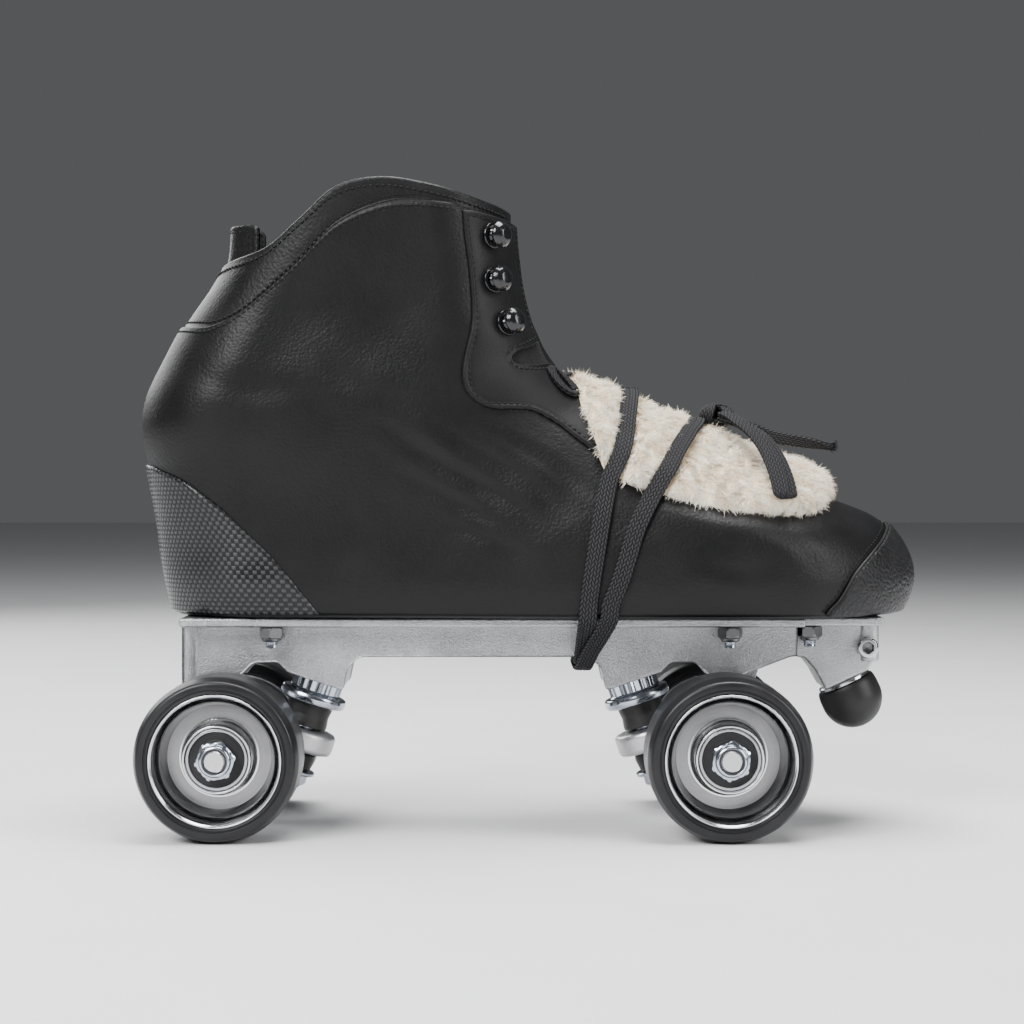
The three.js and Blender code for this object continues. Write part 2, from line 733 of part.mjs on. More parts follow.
// A flat braid along a route, lying flat towards the middle of the boot.
function braid(route, halfWidth, halfThick, steps) {
  const path = new THREE.CatmullRomCurve3(route.map((p) => new THREE.Vector3(...p)));
  const section = [[1, 0.4], [0.8, 1], [-0.8, 1], [-1, 0.4], [-1, -0.4], [-0.8, -1], [0.8, -1], [1, -0.4]];
  const rings = [];
  for (let i = 0; i <= steps; i++) {
    const point = path.getPointAt(i / steps);
    const along = path.getTangentAt(i / steps);
    const out = new THREE.Vector3(0, point.y, point.z - bootMiddle).projectOnPlane(along).normalize();
    const across = new THREE.Vector3().crossVectors(along, out);
    rings.push(section.map(([w, t]) => {
      const corner = point.clone().addScaledVector(across, w * halfWidth);
      return corner.addScaledVector(out, t * halfThick);
    }));
  }
  return skin(rings);
}

const skate = new THREE.Group();
skate.add(makeMesh("outsole", soleLayer(soleBottom, soleTop, upperBottom + 1, 1.2), "rubber"));
const [quarters, vamp] = bootUpper();
skate.add(makeMesh("boot_upper", quarters, "leather"));
skate.add(makeMesh("boot_vamp", vamp, "leather"));
skate.add(makeMesh("footbed", soleLayer(cavityFloor + gap, cavityFloor + 3.5, 90, 6), "leather"));
skate.add(makeMesh("heel_counter", heelCounter(), "carbon"));
skate.add(makeMesh("toe_cap", toeCap(), "leather"));
skate.add(makeMesh("tongue", tongue(), "fleece"));
skate.add(makeMesh("pull_tab", pullTab(), "leather"));
for (const [name, side] of [["outer", -1], ["inner", 1]]) {
  skate.add(makeMesh(`${name}_facing`, facing(side), "leather"));
  hookPlaces.forEach(([x, z], i) => {
    skate.add(makeMesh(`${name}_hook_${i + 1}`, speedHook(x, z, side), "enamel"));
  });
}
const wrap = (route) => braid(route, laceHalfWidth, laceHalfThick, 40);
skate.add(makeMesh("rear_lace_wrap", wrap(rearWrapRoute), "lace"));
skate.add(makeMesh("front_lace_wrap", wrap(frontWrapRoute), "lace"));
skate.add(makeMesh("bow_loop", braid(bowLoopRoute, laceHalfWidth + 0.3, 1.9, 10), "lace"));
skate.add(makeMesh("lace_free_end", braid(freeEndRoute, laceHalfWidth, laceHalfThick, 10), "lace"));
skate.add(makeMesh("plate", plate(), "aluminium"));
boltPlaces().forEach(([x, y], i) => {
  skate.add(makeMesh(`mounting_bolt_${i + 1}`, mountingBolt(x, y), "zinc"));
});
skate.add(makeMesh("clamp_screw", clampScrew(), "zinc"));
skate.add(makeMesh("toe_stop_stem", stopStemSolid(), "zinc"));
skate.add(makeMesh("toe_stop_ball", stopBall(), "rubber"));
for (const end of ["rear", "front"]) {
  skate.add(makeTruck(end));
  for (const side of ["outer", "inner"]) skate.add(makeWheel(end, side));
}

export default skate;
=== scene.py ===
import math
import random
import bmesh
import bpy
import numpy as np
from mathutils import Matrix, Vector
from mathutils.geometry import delaunay_2d_cdt
from mathutils.kdtree import KDTree


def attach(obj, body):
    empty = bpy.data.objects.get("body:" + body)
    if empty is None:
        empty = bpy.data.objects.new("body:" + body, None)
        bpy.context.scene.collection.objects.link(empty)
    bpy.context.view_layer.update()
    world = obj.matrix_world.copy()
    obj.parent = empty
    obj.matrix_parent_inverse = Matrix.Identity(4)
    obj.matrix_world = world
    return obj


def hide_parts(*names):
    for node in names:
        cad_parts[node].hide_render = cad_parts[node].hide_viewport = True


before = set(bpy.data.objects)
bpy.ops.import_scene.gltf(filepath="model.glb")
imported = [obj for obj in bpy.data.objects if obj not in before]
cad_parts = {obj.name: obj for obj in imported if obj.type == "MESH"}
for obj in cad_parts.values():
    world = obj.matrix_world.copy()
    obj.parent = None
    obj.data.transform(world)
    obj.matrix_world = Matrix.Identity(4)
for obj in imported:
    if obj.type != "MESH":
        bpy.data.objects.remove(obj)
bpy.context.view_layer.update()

mm = 0.001
mainBody = "boot_and_plate"

# camera at the side of the skate, a little above the boot's sole

cameraSet = {"place": (-0.0098, -0.858, 0.1266), "lens": 81.28, "shift": (0.0078, -0.03125)}
lights = [
    # name, place, aimed at, size, watts
    ("keyLight", (-0.64, -0.95, 0.90), (-0.02, 0.0, 0.12), (0.7, 0.6), 28),
    ("fillLight", (0.95, -0.55, 0.50), (0.05, 0.0, 0.10), (0.5, 0.7), 10),
    ("topLight", (0.05, 0.05, 1.15), (0.0, 0.0, 0.15), (0.9, 0.6), 30),
    ("backLight", (-0.7, 0.9, 0.7), (0.0, 0.0, 0.15), (0.8, 0.8), 10),
]


def makeStage():
    camera = bpy.data.objects.new("camera", bpy.data.cameras.new("camera"))
    camera.location = cameraSet["place"]
    camera.rotation_euler = (math.radians(90), 0, 0)
    camera.data.lens = cameraSet["lens"]
    camera.data.sensor_width = 36
    camera.data.shift_x, camera.data.shift_y = cameraSet["shift"]
    camera.data.clip_start = 0.01
    bpy.context.scene.collection.objects.link(camera)
    bpy.context.scene.camera = camera
    for name, place, target, size, watts in lights:
        lamp = bpy.data.lights.new(name, "AREA")
        lamp.shape = "RECTANGLE"
        lamp.size, lamp.size_y = size
        lamp.energy = watts
        holder = bpy.data.objects.new(name, lamp)
        holder.location = place
        holder.rotation_euler = (Vector(target) - Vector(place)).to_track_quat("-Z", "Y").to_euler()
        bpy.context.scene.collection.objects.link(holder)
    world = bpy.data.worlds.new("studio")
    world.use_nodes = True
    world.node_tree.nodes["Background"].inputs["Color"].default_value = (0.80, 0.82, 0.85, 1)
    world.node_tree.nodes["Background"].inputs["Strength"].default_value = 0.12
    bpy.context.scene.world = world
    print("camera, lamps and world are set")


makeStage()

# small sums on arrays of points, all in millimetres


def unit(v):
    return v / np.maximum(np.linalg.norm(v, axis=-1, keepdims=True), 1e-9)


def smoothStep(x, low, high):
    t = np.clip((x - low) / (high - low), 0, 1)
    return t * t * (3 - 2 * t)


def bump(distance, width):
    return np.exp(-((distance / width) ** 2))


def smoothPath(points, spacing):
    # an even row of points along a smooth curve through the given ones
    p = np.array(points, float)
    p = np.vstack([2 * p[0] - p[1], p, 2 * p[-1] - p[-2]])
    t = np.linspace(0, 1, 24, endpoint=False)[:, None]
    rows = []
    for a, b, c, d in zip(p, p[1:], p[2:], p[3:]):
        cubic = -a + 3 * b - 3 * c + d
        rows.append(0.5 * (2 * b + (c - a) * t + (2 * a - 5 * b + 4 * c - d) * t**2 + cubic * t**3))
    dense = np.vstack(rows + [p[-2]])
    return evenRow(dense, spacing)


def evenRow(dense, spacing):
    reach = np.concatenate([[0], np.cumsum(np.linalg.norm(np.diff(dense, axis=0), axis=1))])
    at = np.linspace(0, reach[-1], max(2, round(reach[-1] / spacing) + 1))
    return np.stack([np.interp(at, reach, dense[:, k]) for k in range(dense.shape[1])], axis=1)


def roundCorners(corners, closed=False, steps=5):
    # each corner is (a, b) or (a, b, radius)
    path = []
    for i, corner in enumerate(corners):
        p = np.array(corner[:2], float)
        last = len(corners) - 1
        if len(corner) < 3 or (not closed and i in (0, last)):
            path.append(p)
            continue
        a = np.array(corners[i - 1][:2], float) - p
        b = np.array(corners[(i + 1) % len(corners)][:2], float) - p
        lengths = np.linalg.norm(a), np.linalg.norm(b)
        a, b = a / lengths[0], b / lengths[1]
        angle = math.acos(np.clip(a @ b, -1, 1))
        reach = min(corner[2] / math.tan(angle / 2), 0.49 * lengths[0], 0.49 * lengths[1])
        for t in np.linspace(0, 1, steps + 1):
            path.append(p + a * reach * (1 - t) ** 2 + b * reach * t * t)
    return np.array(path)


# shapes: a shape is (points, faces, pattern places)


def joinShapes(shapes):
    points, faces, places = [], [], []
    count = 0
    for shape in shapes:
        points.append(shape[0])
        faces += [[i + count for i in face] for face in shape[1]]
        places.append(shape[2] if len(shape) > 2 and shape[2] is not None else np.zeros((len(shape[0]), 2)))
        count += len(shape[0])
    return np.vstack(points), faces, np.vstack(places)


def turnedShape(profile, segments=72, closed=False):
    # profile of (radius, height), turned about Y
    angles = np.arange(segments) * 2 * math.pi / segments
    points, rings, places = [], [], []
    run = 0
    for i, (r, y) in enumerate(profile):
        if i:
            run += math.hypot(r - profile[i - 1][0], y - profile[i - 1][1])
        if r < 1e-6:
            rings.append([len(points)] * segments)
            points.append((0, y, 0))
            places.append((run, 0))
            continue
        rings.append(list(range(len(points), len(points) + segments)))
        points += [(r * math.cos(a), y, r * math.sin(a)) for a in angles]
        places += [(run, a) for a in angles]
    faces = []
    for one, two in zip(rings, rings[1:] + (rings[:1] if closed else [])):
        for i in range(segments):
            j = (i + 1) % segments
            face = list(dict.fromkeys([one[i], two[i], two[j], one[j]]))
            if len(face) > 2:
                faces.append(face)
    return np.array(points, float), faces, np.array(places, float)


def hexShape(acrossFlats, low, high, bore, topRound=1.0, bottomRound=1.0, segments=96):
    # a nut about Y: six flats cut back at the ends by a cone
    angles = np.arange(segments) * 2 * math.pi / segments
    flat = acrossFlats / 2
    hexRadius = flat / np.cos((angles + math.pi / 6) % (math.pi / 3) - math.pi / 6)
    steps = [(low, bottomRound, 0), (low, bottomRound, 0.3), (low, bottomRound, 0.7), (low, bottomRound, 1.2)]
    steps += [(high, topRound, 1.2), (high, topRound, 0.7), (high, topRound, 0.3), (high, topRound, 0)]
    rings = [np.full(segments, bore)]
    heights = [low]
    for end, rounding, depth in steps:
        limit = flat * 0.94 + (1.7 * depth if rounding else 9)
        rings.append(np.minimum(hexRadius * 0.995, limit))
        heights.append(end + depth if end == low else end - depth)
    rings.append(np.full(segments, bore))
    heights.append(high)
    points = np.vstack([
        np.stack([r * np.cos(angles), np.full(segments, y), r * np.sin(angles)], axis=1)
        for r, y in zip(rings, heights)
    ])
    return points, gridFaces(len(rings), segments, True, True), None


def gridFaces(rows, columns, wrapColumns=False, wrapRows=False):
    faces = []
    for k in range(rows if wrapRows else rows - 1):
        for j in range(columns if wrapColumns else columns - 1):
            a, b = k * columns + j, k * columns + (j + 1) % columns
            c, d = (k + 1) % rows * columns + (j + 1) % columns, (k + 1) % rows * columns + j
            faces.append([a, b, c, d])
    return faces


def insetOutline(outline, distance):
    p = np.array(outline, float)
    before, after = unit(p - np.roll(p, 1, 0)), unit(np.roll(p, -1, 0) - p)
    normals = [np.stack([-e[:, 1], e[:, 0]], axis=1) for e in (before, after)]
    middle = unit(normals[0] + normals[1])
    spread = np.maximum((middle * normals[0]).sum(1, keepdims=True), 0.4)
    return p + middle * distance / spread


def leftHanded(outline):
    x, z = np.array(outline, float)[:, :2].T
    return (x * np.roll(z, -1) - z * np.roll(x, -1)).sum() > 0


def slabShape(outline, y0, y1, edge=0.8, steps=4):
    # an outline in X and Z with rounded edges on both faces
    p = np.array(outline, float)
    p = p if leftHanded(p) else p[::-1]
    angles = np.linspace(0, math.pi / 2, steps + 1)
    layers = [(edge * (1 - math.sin(a)), y0 + edge * (1 - math.cos(a))) for a in angles]
    layers += [(d, y0 + y1 - y) for d, y in reversed(layers)]
    points = []
    for distance, y in layers:
        ring = insetOutline(p, distance)
        points.append(np.stack([ring[:, 0], np.full(len(p), y), ring[:, 1]], axis=1))
    count = len(p)
    faces = gridFaces(len(layers), count, True)
    faces.append(list(range(count)))
    faces.append([(len(layers) - 1) * count + i for i in range(count)][::-1])
    return np.vstack(points), faces, None


def blockShape(x0, x1, y0, y1, z0, z1, edge=0.8, corner=1.0):
    corners = [(x0, z0, corner), (x1, z0, corner), (x1, z1, corner), (x0, z1, corner)]
    return slabShape(roundCorners(corners, True), y0, y1, edge)


def aimed(shape, place, direction):
    turn = np.array(Vector((0, 1, 0)).rotation_difference(Vector(direction)).to_matrix())
    return (shape[0] @ turn.T + np.array(place, float),) + tuple(shape[1:])


def moved(shape, matrix):
    turn, shift = matrix
    return (shape[0] @ np.array(turn, float).T + np.array(shift, float),) + tuple(shape[1:])


def addPiece(name, shape, material, body=mainBody, sharp=38, faceSets=None, weld=0.0):
    mesh = bpy.data.meshes.new(name)
    mesh.from_pydata((shape[0] * mm).tolist(), [], shape[1])
    materials = material if isinstance(material, list) else [material]
    for one in materials:
        mesh.materials.append(one)
    if faceSets is not None:
        mesh.polygons.foreach_set("material_index", faceSets)
    if len(shape) > 2 and shape[2] is not None:
        layer = mesh.uv_layers.new(name="patternMap")
        index = np.empty(len(mesh.loops), dtype=np.int32)
        mesh.loops.foreach_get("vertex_index", index)
        layer.data.foreach_set("uv", shape[2][index].astype(np.float32).ravel())
    work = bmesh.new()
    work.from_mesh(mesh)
    if weld:
        bmesh.ops.remove_doubles(work, verts=work.verts, dist=weld * mm)
    bmesh.ops.recalc_face_normals(work, faces=work.faces)
    work.to_mesh(mesh)
    work.free()
    mesh.polygons.foreach_set("use_smooth", [True] * len(mesh.polygons))
    if sharp:
        mesh.set_sharp_from_angle(angle=math.radians(sharp))
    mesh.update()
    piece = bpy.data.objects.new(name, mesh)
    bpy.context.scene.collection.objects.link(piece)
    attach(piece, body)
    return piece


def evenShading(piece):
    # flat faces keep their own shade beside rounded edges
    weighted = piece.modifiers.new("evenShading", "WEIGHTED_NORMAL")
    weighted.keep_sharp = True
    weighted.weight = 100
    return piece


# materials


def addNode(tree, kind, inputs=None, **settings):
    made = tree.nodes.new("ShaderNode" + kind)
    for key, value in settings.items():
        setattr(made, key, value)
    for key, value in (inputs or {}).items():
        if isinstance(value, bpy.types.NodeSocket):
            tree.links.new(value, made.inputs[key])
        else:
            made.inputs[key].default_value = value
    return made


def newMaterial(name, color, roughness, metallic=0.0, **sockets):
    material = bpy.data.materials.new(name)
    material.use_nodes = True
    tree = material.node_tree
    shader = tree.nodes["Principled BSDF"]
    shader.inputs["Base Color"].default_value = (*color, 1)
    shader.inputs["Roughness"].default_value = roughness
    shader.inputs["Metallic"].default_value = metallic
    for key, value in sockets.items():
        shader.inputs[key.replace("_", " ")].default_value = value
    material.diffuse_color = (*color, 1)
    return material, tree, shader


def partPlace(tree):
    return addNode(tree, "TexCoord").outputs["Object"]


def patternPlace(tree):
    return addNode(tree, "UVMap", uv_map="patternMap").outputs["UV"]


def noiseAt(tree, place, sizeMm, detail=3.0, roughness=0.55):
    # size is that of one lump, in millimetres
    texture = addNode(tree, "TexNoise", {"Vector": place, "Scale": 1000 / sizeMm, "Detail": detail,
                                         "Roughness": roughness})
    return texture.outputs["Fac"]


def cellsAt(tree, place, sizeMm, feature="F1"):
    texture = addNode(tree, "TexVoronoi", {"Vector": place, "Scale": 1000 / sizeMm}, feature=feature)
    return texture.outputs["Distance"]


def ranged(tree, value, low, high, fromLow=0.0, fromHigh=1.0):
    made = addNode(tree, "MapRange", {"Value": value, "From Min": fromLow, "From Max": fromHigh,
                                      "To Min": low, "To Max": high})
    return made.outputs["Result"]


def mathNode(tree, operation, a, b=0.0, c=0.0):
    made = addNode(tree, "Math", operation=operation)
    for socket, value in zip(made.inputs, (a, b, c)):
        if isinstance(value, bpy.types.NodeSocket):
            tree.links.new(value, socket)
        else:
            socket.default_value = value
    return made.outputs["Value"]


def colorsBetween(tree, value, dark, light, low=0.0, high=1.0):
    ramp = addNode(tree, "ValToRGB", {"Fac": value})
    ramp.color_ramp.elements[0].position = low
    ramp.color_ramp.elements[0].color = (*dark, 1)
    ramp.color_ramp.elements[1].position = high
    ramp.color_ramp.elements[1].color = (*light, 1)
    return ramp.outputs["Color"]


def raised(tree, height, depthMm, strength=1.0, under=None):
    inputs = {"Height": height, "Distance": depthMm * mm, "Strength": strength}
    if under is not None:
        inputs["Normal"] = under
    return addNode(tree, "Bump", inputs).outputs["Normal"]


def leatherMaterial(name, settings):
    material, tree, shader = newMaterial(name, settings["color"], settings["roughness"][1],
                                         Specular_IOR_Level=0.2)
    place = partPlace(tree)
    cells = cellsAt(tree, place, settings["grain"], "SMOOTH_F1")
    fine = noiseAt(tree, place, settings["grain"] * 0.35, 4)
    wide = noiseAt(tree, place, settings["patches"], 3)
    height = mathNode(tree, "MULTIPLY_ADD", fine, 0.45, ranged(tree, cells, 1.0, 0.0, 0.0, 0.75))
    wrinkles = noiseAt(tree, place, settings["grain"] * 7, 4, 0.6)
    height = mathNode(tree, "MULTIPLY_ADD", wrinkles, settings.get("wrinkles", 0.8), height)
    shade = mathNode(tree, "MULTIPLY_ADD", wide, 0.6, mathNode(tree, "MULTIPLY", fine, 0.4))
    lighter = tuple(c * settings["fade"] + 0.001 for c in settings["color"])
    tree.links.new(colorsBetween(tree, shade, settings["color"], lighter, 0.35, 0.7),
                   shader.inputs["Base Color"])
    tree.links.new(ranged(tree, shade, *settings["roughness"], 0.3, 0.7), shader.inputs["Roughness"])
    tree.links.new(raised(tree, height, settings["depth"]), shader.inputs["Normal"])
    return material


leathers = {
    "quarterLeather": {"color": (0.0035, 0.0035, 0.0038), "roughness": (0.38, 0.48), "grain": 0.95,
                       "depth": 0.085, "patches": 22, "fade": 1.5},
    "collarLeather": {"color": (0.0045, 0.0045, 0.0048), "roughness": (0.36, 0.48), "grain": 1.1,
                      "depth": 0.10, "patches": 12, "fade": 1.7},
    "facingLeather": {"color": (0.004, 0.004, 0.0043), "roughness": (0.40, 0.54), "grain": 0.7,
                      "depth": 0.04, "patches": 14, "fade": 1.5},
    "foldLeather": {"color": (0.004, 0.004, 0.0043), "roughness": (0.40, 0.55), "grain": 0.6,
                    "depth": 0.05, "patches": 8, "fade": 1.8},
    "toeLeather": {"color": (0.007, 0.007, 0.0075), "roughness": (0.36, 0.50), "grain": 1.25,
                   "depth": 0.36, "patches": 10, "fade": 1.7, "wrinkles": 0.2},
}
finishes = {name: leatherMaterial(name, settings) for name, settings in leathers.items()}


def clothMaterial(name, color, lighter, weave, depth):
    material, tree, shader = newMaterial(name, color, 0.9, Specular_IOR_Level=0.2)
    place = partPlace(tree)
    threads = cellsAt(tree, place, weave)
    wide = noiseAt(tree, place, 9, 3)
    tree.links.new(colorsBetween(tree, wide, color, lighter, 0.3, 0.75), shader.inputs["Base Color"])
    tree.links.new(raised(tree, threads, depth), shader.inputs["Normal"])
    tree.links.new(ranged(tree, threads, 0.95, 0.75), shader.inputs["Roughness"])
    return material


def threadMaterial(name, color, lighter):
    material, tree, shader = newMaterial(name, color, 0.6, Specular_IOR_Level=0.2)
    place = partPlace(tree)
    fibres = noiseAt(tree, place, 0.25, 3)
    tree.links.new(colorsBetween(tree, fibres, color, lighter, 0.35, 0.7), shader.inputs["Base Color"])
    tree.links.new(raised(tree, fibres, 0.06), shader.inputs["Normal"])
    tree.links.new(ranged(tree, fibres, 0.8, 0.55), shader.inputs["Roughness"])
    return material


def braidMaterial(name, settings):
    # slanting yarns in columns, from pattern places along and across the lace; the yarn crests are painted
    # lighter as a painted highlight and the gaps between yarns darker as painted shade
    material, tree, shader = newMaterial(name, settings["dark"], 0.6, Specular_IOR_Level=0.1)
    split = addNode(tree, "SeparateXYZ", {"Vector": patternPlace(tree)})
    columns = settings["columns"]
    across = mathNode(tree, "MULTIPLY_ADD", split.outputs["Y"], columns / (2 * settings["halfWidth"]),
                      columns / 2)
    inside = mathNode(tree, "SUBTRACT", mathNode(tree, "FRACT", across), 0.5)
    odd = mathNode(tree, "FLOORED_MODULO", mathNode(tree, "FLOOR", across), 2.0)
    lean = mathNode(tree, "MULTIPLY_ADD", odd, -1.6, 0.8)
    phase = mathNode(tree, "MULTIPLY_ADD", inside, lean, mathNode(tree, "MULTIPLY", odd, 0.5))
    phase = mathNode(tree, "MULTIPLY_ADD", split.outputs["X"], 1 / settings["pitch"], phase)
    wave = mathNode(tree, "ABSOLUTE", mathNode(tree, "SINE", mathNode(tree, "MULTIPLY", phase, math.pi)))
    gap = mathNode(tree, "POWER", mathNode(tree, "MULTIPLY", mathNode(tree, "ABSOLUTE", inside), 2.0), 3.0)
    yarn = mathNode(tree, "MULTIPLY", mathNode(tree, "POWER", wave, 0.7),
                    mathNode(tree, "MULTIPLY_ADD", gap, -0.8, 1.0))
    fibres = noiseAt(tree, partPlace(tree), 0.25, 3)
    height = mathNode(tree, "MULTIPLY_ADD", fibres, 0.35, yarn)
    # painted highlight on the yarn crests, painted shade in the gaps between yarns
    tree.links.new(colorsBetween(tree, height, settings["dark"], settings["light"], 0.35, 1.15),
                   shader.inputs["Base Color"])
    tree.links.new(raised(tree, height, 0.28), shader.inputs["Normal"])
    tree.links.new(ranged(tree, fibres, 0.75, 0.5), shader.inputs["Roughness"])
    return material


def carbonMaterial(name, settings):
    # plain weave under clear resin, from pattern places in millimetres; the crowns of the tows that lie over
    # are painted lighter as a painted highlight
    material, tree, shader = newMaterial(name, settings["dark"], 0.35, Specular_IOR_Level=0.2,
                                         Coat_Weight=0.22,
                                         Coat_Roughness=0.06)
    split = addNode(tree, "SeparateXYZ", {"Vector": patternPlace(tree)})
    across = mathNode(tree, "DIVIDE", split.outputs["X"], settings["tow"])
    up = mathNode(tree, "DIVIDE", split.outputs["Y"], settings["tow"])
    cell = mathNode(tree, "ADD", mathNode(tree, "FLOOR", across), mathNode(tree, "FLOOR", up))
    over = mathNode(tree, "LESS_THAN", mathNode(tree, "FLOORED_MODULO", cell, 2.0), 0.5)
    ridgeA = mathNode(tree, "SINE", mathNode(tree, "MULTIPLY", mathNode(tree, "FRACT", across), math.pi))
    ridgeB = mathNode(tree, "SINE", mathNode(tree, "MULTIPLY", mathNode(tree, "FRACT", up), math.pi))
    mixed = addNode(tree, "Mix", {"Factor": over, "A": ridgeA, "B": ridgeB})
    height = mathNode(tree, "POWER", mixed.outputs["Result"], 0.9)
    # painted highlight: lighter along the crowns of the over tows, the under tows stay dark
    shade = mathNode(tree, "MULTIPLY", height, mathNode(tree, "MULTIPLY_ADD", over, 0.80, 0.10))
    tree.links.new(colorsBetween(tree, shade, settings["dark"], settings["light"], 0.05, 0.95),
                   shader.inputs["Base Color"])
    tree.links.new(ranged(tree, shade, 0.5, 0.26), shader.inputs["Roughness"])
    tree.links.new(raised(tree, height, 0.22), shader.inputs["Normal"])
    return material


def metalMaterial(name, settings):
    material, tree, shader = newMaterial(name, settings["color"], settings["roughness"][0],
                                         settings.get("metallic", 1.0))
    place = partPlace(tree)
    fine = noiseAt(tree, place, settings["grain"], settings.get("detail", 2))
    wide = noiseAt(tree, place, 14, 3)
    dull = tuple(c * settings.get("dull", 0.86) for c in settings["color"])
    tree.links.new(colorsBetween(tree, mathNode(tree, "MULTIPLY_ADD", fine, 0.5,
                                                mathNode(tree, "MULTIPLY", wide, 0.5)),
                                 dull, settings["color"], 0.35, 0.62), shader.inputs["Base Color"])
    tree.links.new(ranged(tree, wide, *settings["roughness"], 0.3, 0.7), shader.inputs["Roughness"])
    tree.links.new(raised(tree, fine, settings["depth"]), shader.inputs["Normal"])
    return material


def turnedMaterial(name, color, roughness, depth, lineMm=0.16):
    # fine lathe lines, from pattern places that run along the profile
    material, tree, shader = newMaterial(name, color, roughness, 1.0)
    split = addNode(tree, "SeparateXYZ", {"Vector": patternPlace(tree)})
    run = mathNode(tree, "DIVIDE", split.outputs["X"], lineMm)
    lines = addNode(tree, "TexNoise", {"W": run, "Scale": 1.0, "Detail": 2.0},
                    noise_dimensions="1D").outputs["Fac"]
    tree.links.new(raised(tree, lines, depth), shader.inputs["Normal"])
    tree.links.new(ranged(tree, lines, roughness - 0.06, roughness + 0.08, 0.3, 0.7),
                   shader.inputs["Roughness"])
    shade = noiseAt(tree, partPlace(tree), 9, 3)
    dull = tuple(c * 0.88 for c in color)
    tree.links.new(colorsBetween(tree, shade, dull, color, 0.3, 0.6), shader.inputs["Base Color"])
    return material


def rubberMaterial(name, color, roughness, grain, depth, fade=1.6):
    material, tree, shader = newMaterial(name, color, roughness, Specular_IOR_Level=0.28)
    place = partPlace(tree)
    fine = noiseAt(tree, place, grain, 4)
    wide = noiseAt(tree, place, 11, 4)
    lighter = tuple(c * fade for c in color)
    tree.links.new(colorsBetween(tree, wide, color, lighter, 0.4, 0.75), shader.inputs["Base Color"])
    tree.links.new(ranged(tree, wide, roughness - 0.06, roughness + 0.08, 0.3, 0.7),
                   shader.inputs["Roughness"])
    tree.links.new(raised(tree, fine, depth), shader.inputs["Normal"])
    return material


def enamelMaterial(name, color):
    material, tree, shader = newMaterial(name, color, 0.2, Specular_IOR_Level=0.35, Coat_Weight=0.3,
                                         Coat_Roughness=0.12)
    place = partPlace(tree)
    ripple = noiseAt(tree, place, 2.2, 2)
    tree.links.new(raised(tree, ripple, 0.02), shader.inputs["Normal"])
    tree.links.new(ranged(tree, noiseAt(tree, place, 0.8, 3), 0.12, 0.24, 0.3, 0.7),
                   shader.inputs["Roughness"])
    return material


def fleeceMaterial(name, dark, light, sheen):
    material, tree, shader = newMaterial(name, light, 0.95, Sheen_Weight=sheen, Sheen_Roughness=0.5,
                                         Subsurface_Weight=0.15, Subsurface_Scale=0.003)
    place = partPlace(tree)
    tufts = noiseAt(tree, place, 5.0, 4)
    fibres = noiseAt(tree, place, 0.5, 3)
    shade = mathNode(tree, "MULTIPLY_ADD", tufts, 0.75, mathNode(tree, "MULTIPLY", fibres, 0.25))
    tree.links.new(colorsBetween(tree, shade, dark, light, 0.33, 0.58), shader.inputs["Base Color"])
    tree.links.new(raised(tree, fibres, 0.25), shader.inputs["Normal"])
    tree.links.new(ranged(tree, fibres, 1.0, 0.85), shader.inputs["Roughness"])
    return material


metals = {
    "blastedAluminium": {"color": (0.46, 0.465, 0.475), "roughness": (0.36, 0.46), "grain": 0.55,
                         "depth": 0.22,
                          "dull": 0.62},
    "castAluminium": {"color": (0.60, 0.60, 0.61), "roughness": (0.36, 0.5), "grain": 0.6, "depth": 0.06},
    "zincPlate": {"color": (0.50, 0.54, 0.60), "roughness": (0.13, 0.24), "grain": 0.8, "depth": 0.01},
    "brightSteel": {"color": (0.58, 0.58, 0.59), "roughness": (0.10, 0.2), "grain": 0.9, "depth": 0.006},
    "bearingSteel": {"color": (0.40, 0.40, 0.40), "roughness": (0.14, 0.25), "grain": 0.7, "depth": 0.006},
    # dark steel for the plate-bolt nuts, also used as painted shade in the clamp screw's socket
    "darkSteelAndPaintedShade": {"color": (0.16, 0.16, 0.165), "roughness": (0.25, 0.4), "grain": 0.7, "depth": 0.02},
}
for name, settings in metals.items():
    finishes[name] = metalMaterial(name, settings)
finishes["turnedAluminium"] = turnedMaterial("turnedAluminium", (0.74, 0.74, 0.75), 0.15, 0.008)
# the web and the slope take darker copies of the hub aluminium: painted shade on the recessed web, a painted
# dark reflection on the slope
finishes["satinAluminiumPaintedShade"] = turnedMaterial("satinAluminiumPaintedShade", (0.30, 0.30, 0.305), 0.30, 0.014, 0.22)
finishes["polishedSlopePaintedReflection"] = turnedMaterial("polishedSlopePaintedReflection", (0.20, 0.20, 0.205), 0.13, 0.010, 0.3)
finishes["urethane"] = rubberMaterial("urethane", (0.010, 0.010, 0.011), 0.34, 0.35, 0.01)
finishes["stopRubber"] = rubberMaterial("stopRubber", (0.012, 0.012, 0.012), 0.46, 0.4, 0.02)
finishes["cushionRubber"] = rubberMaterial("cushionRubber", (0.014, 0.014, 0.014), 0.42, 0.4, 0.02)
finishes["soleRubber"] = rubberMaterial("soleRubber", (0.012, 0.012, 0.013), 0.55, 0.5, 0.04)
finishes["sealRubber"] = rubberMaterial("sealRubber", (0.014, 0.014, 0.015), 0.5, 0.3, 0.015)
finishes["nylon"] = rubberMaterial("nylon", (0.05, 0.05, 0.055), 0.4, 0.3, 0.01)
finishes["hookEnamel"] = enamelMaterial("hookEnamel", (0.006, 0.006, 0.007))
# the carbon's light colour is the painted highlight on the over tows
finishes["carbon"] = carbonMaterial("carbonWeave", {"tow": 1.6, "dark": (0.002, 0.002, 0.0025),
                                                    "light": (0.038, 0.039, 0.041)})
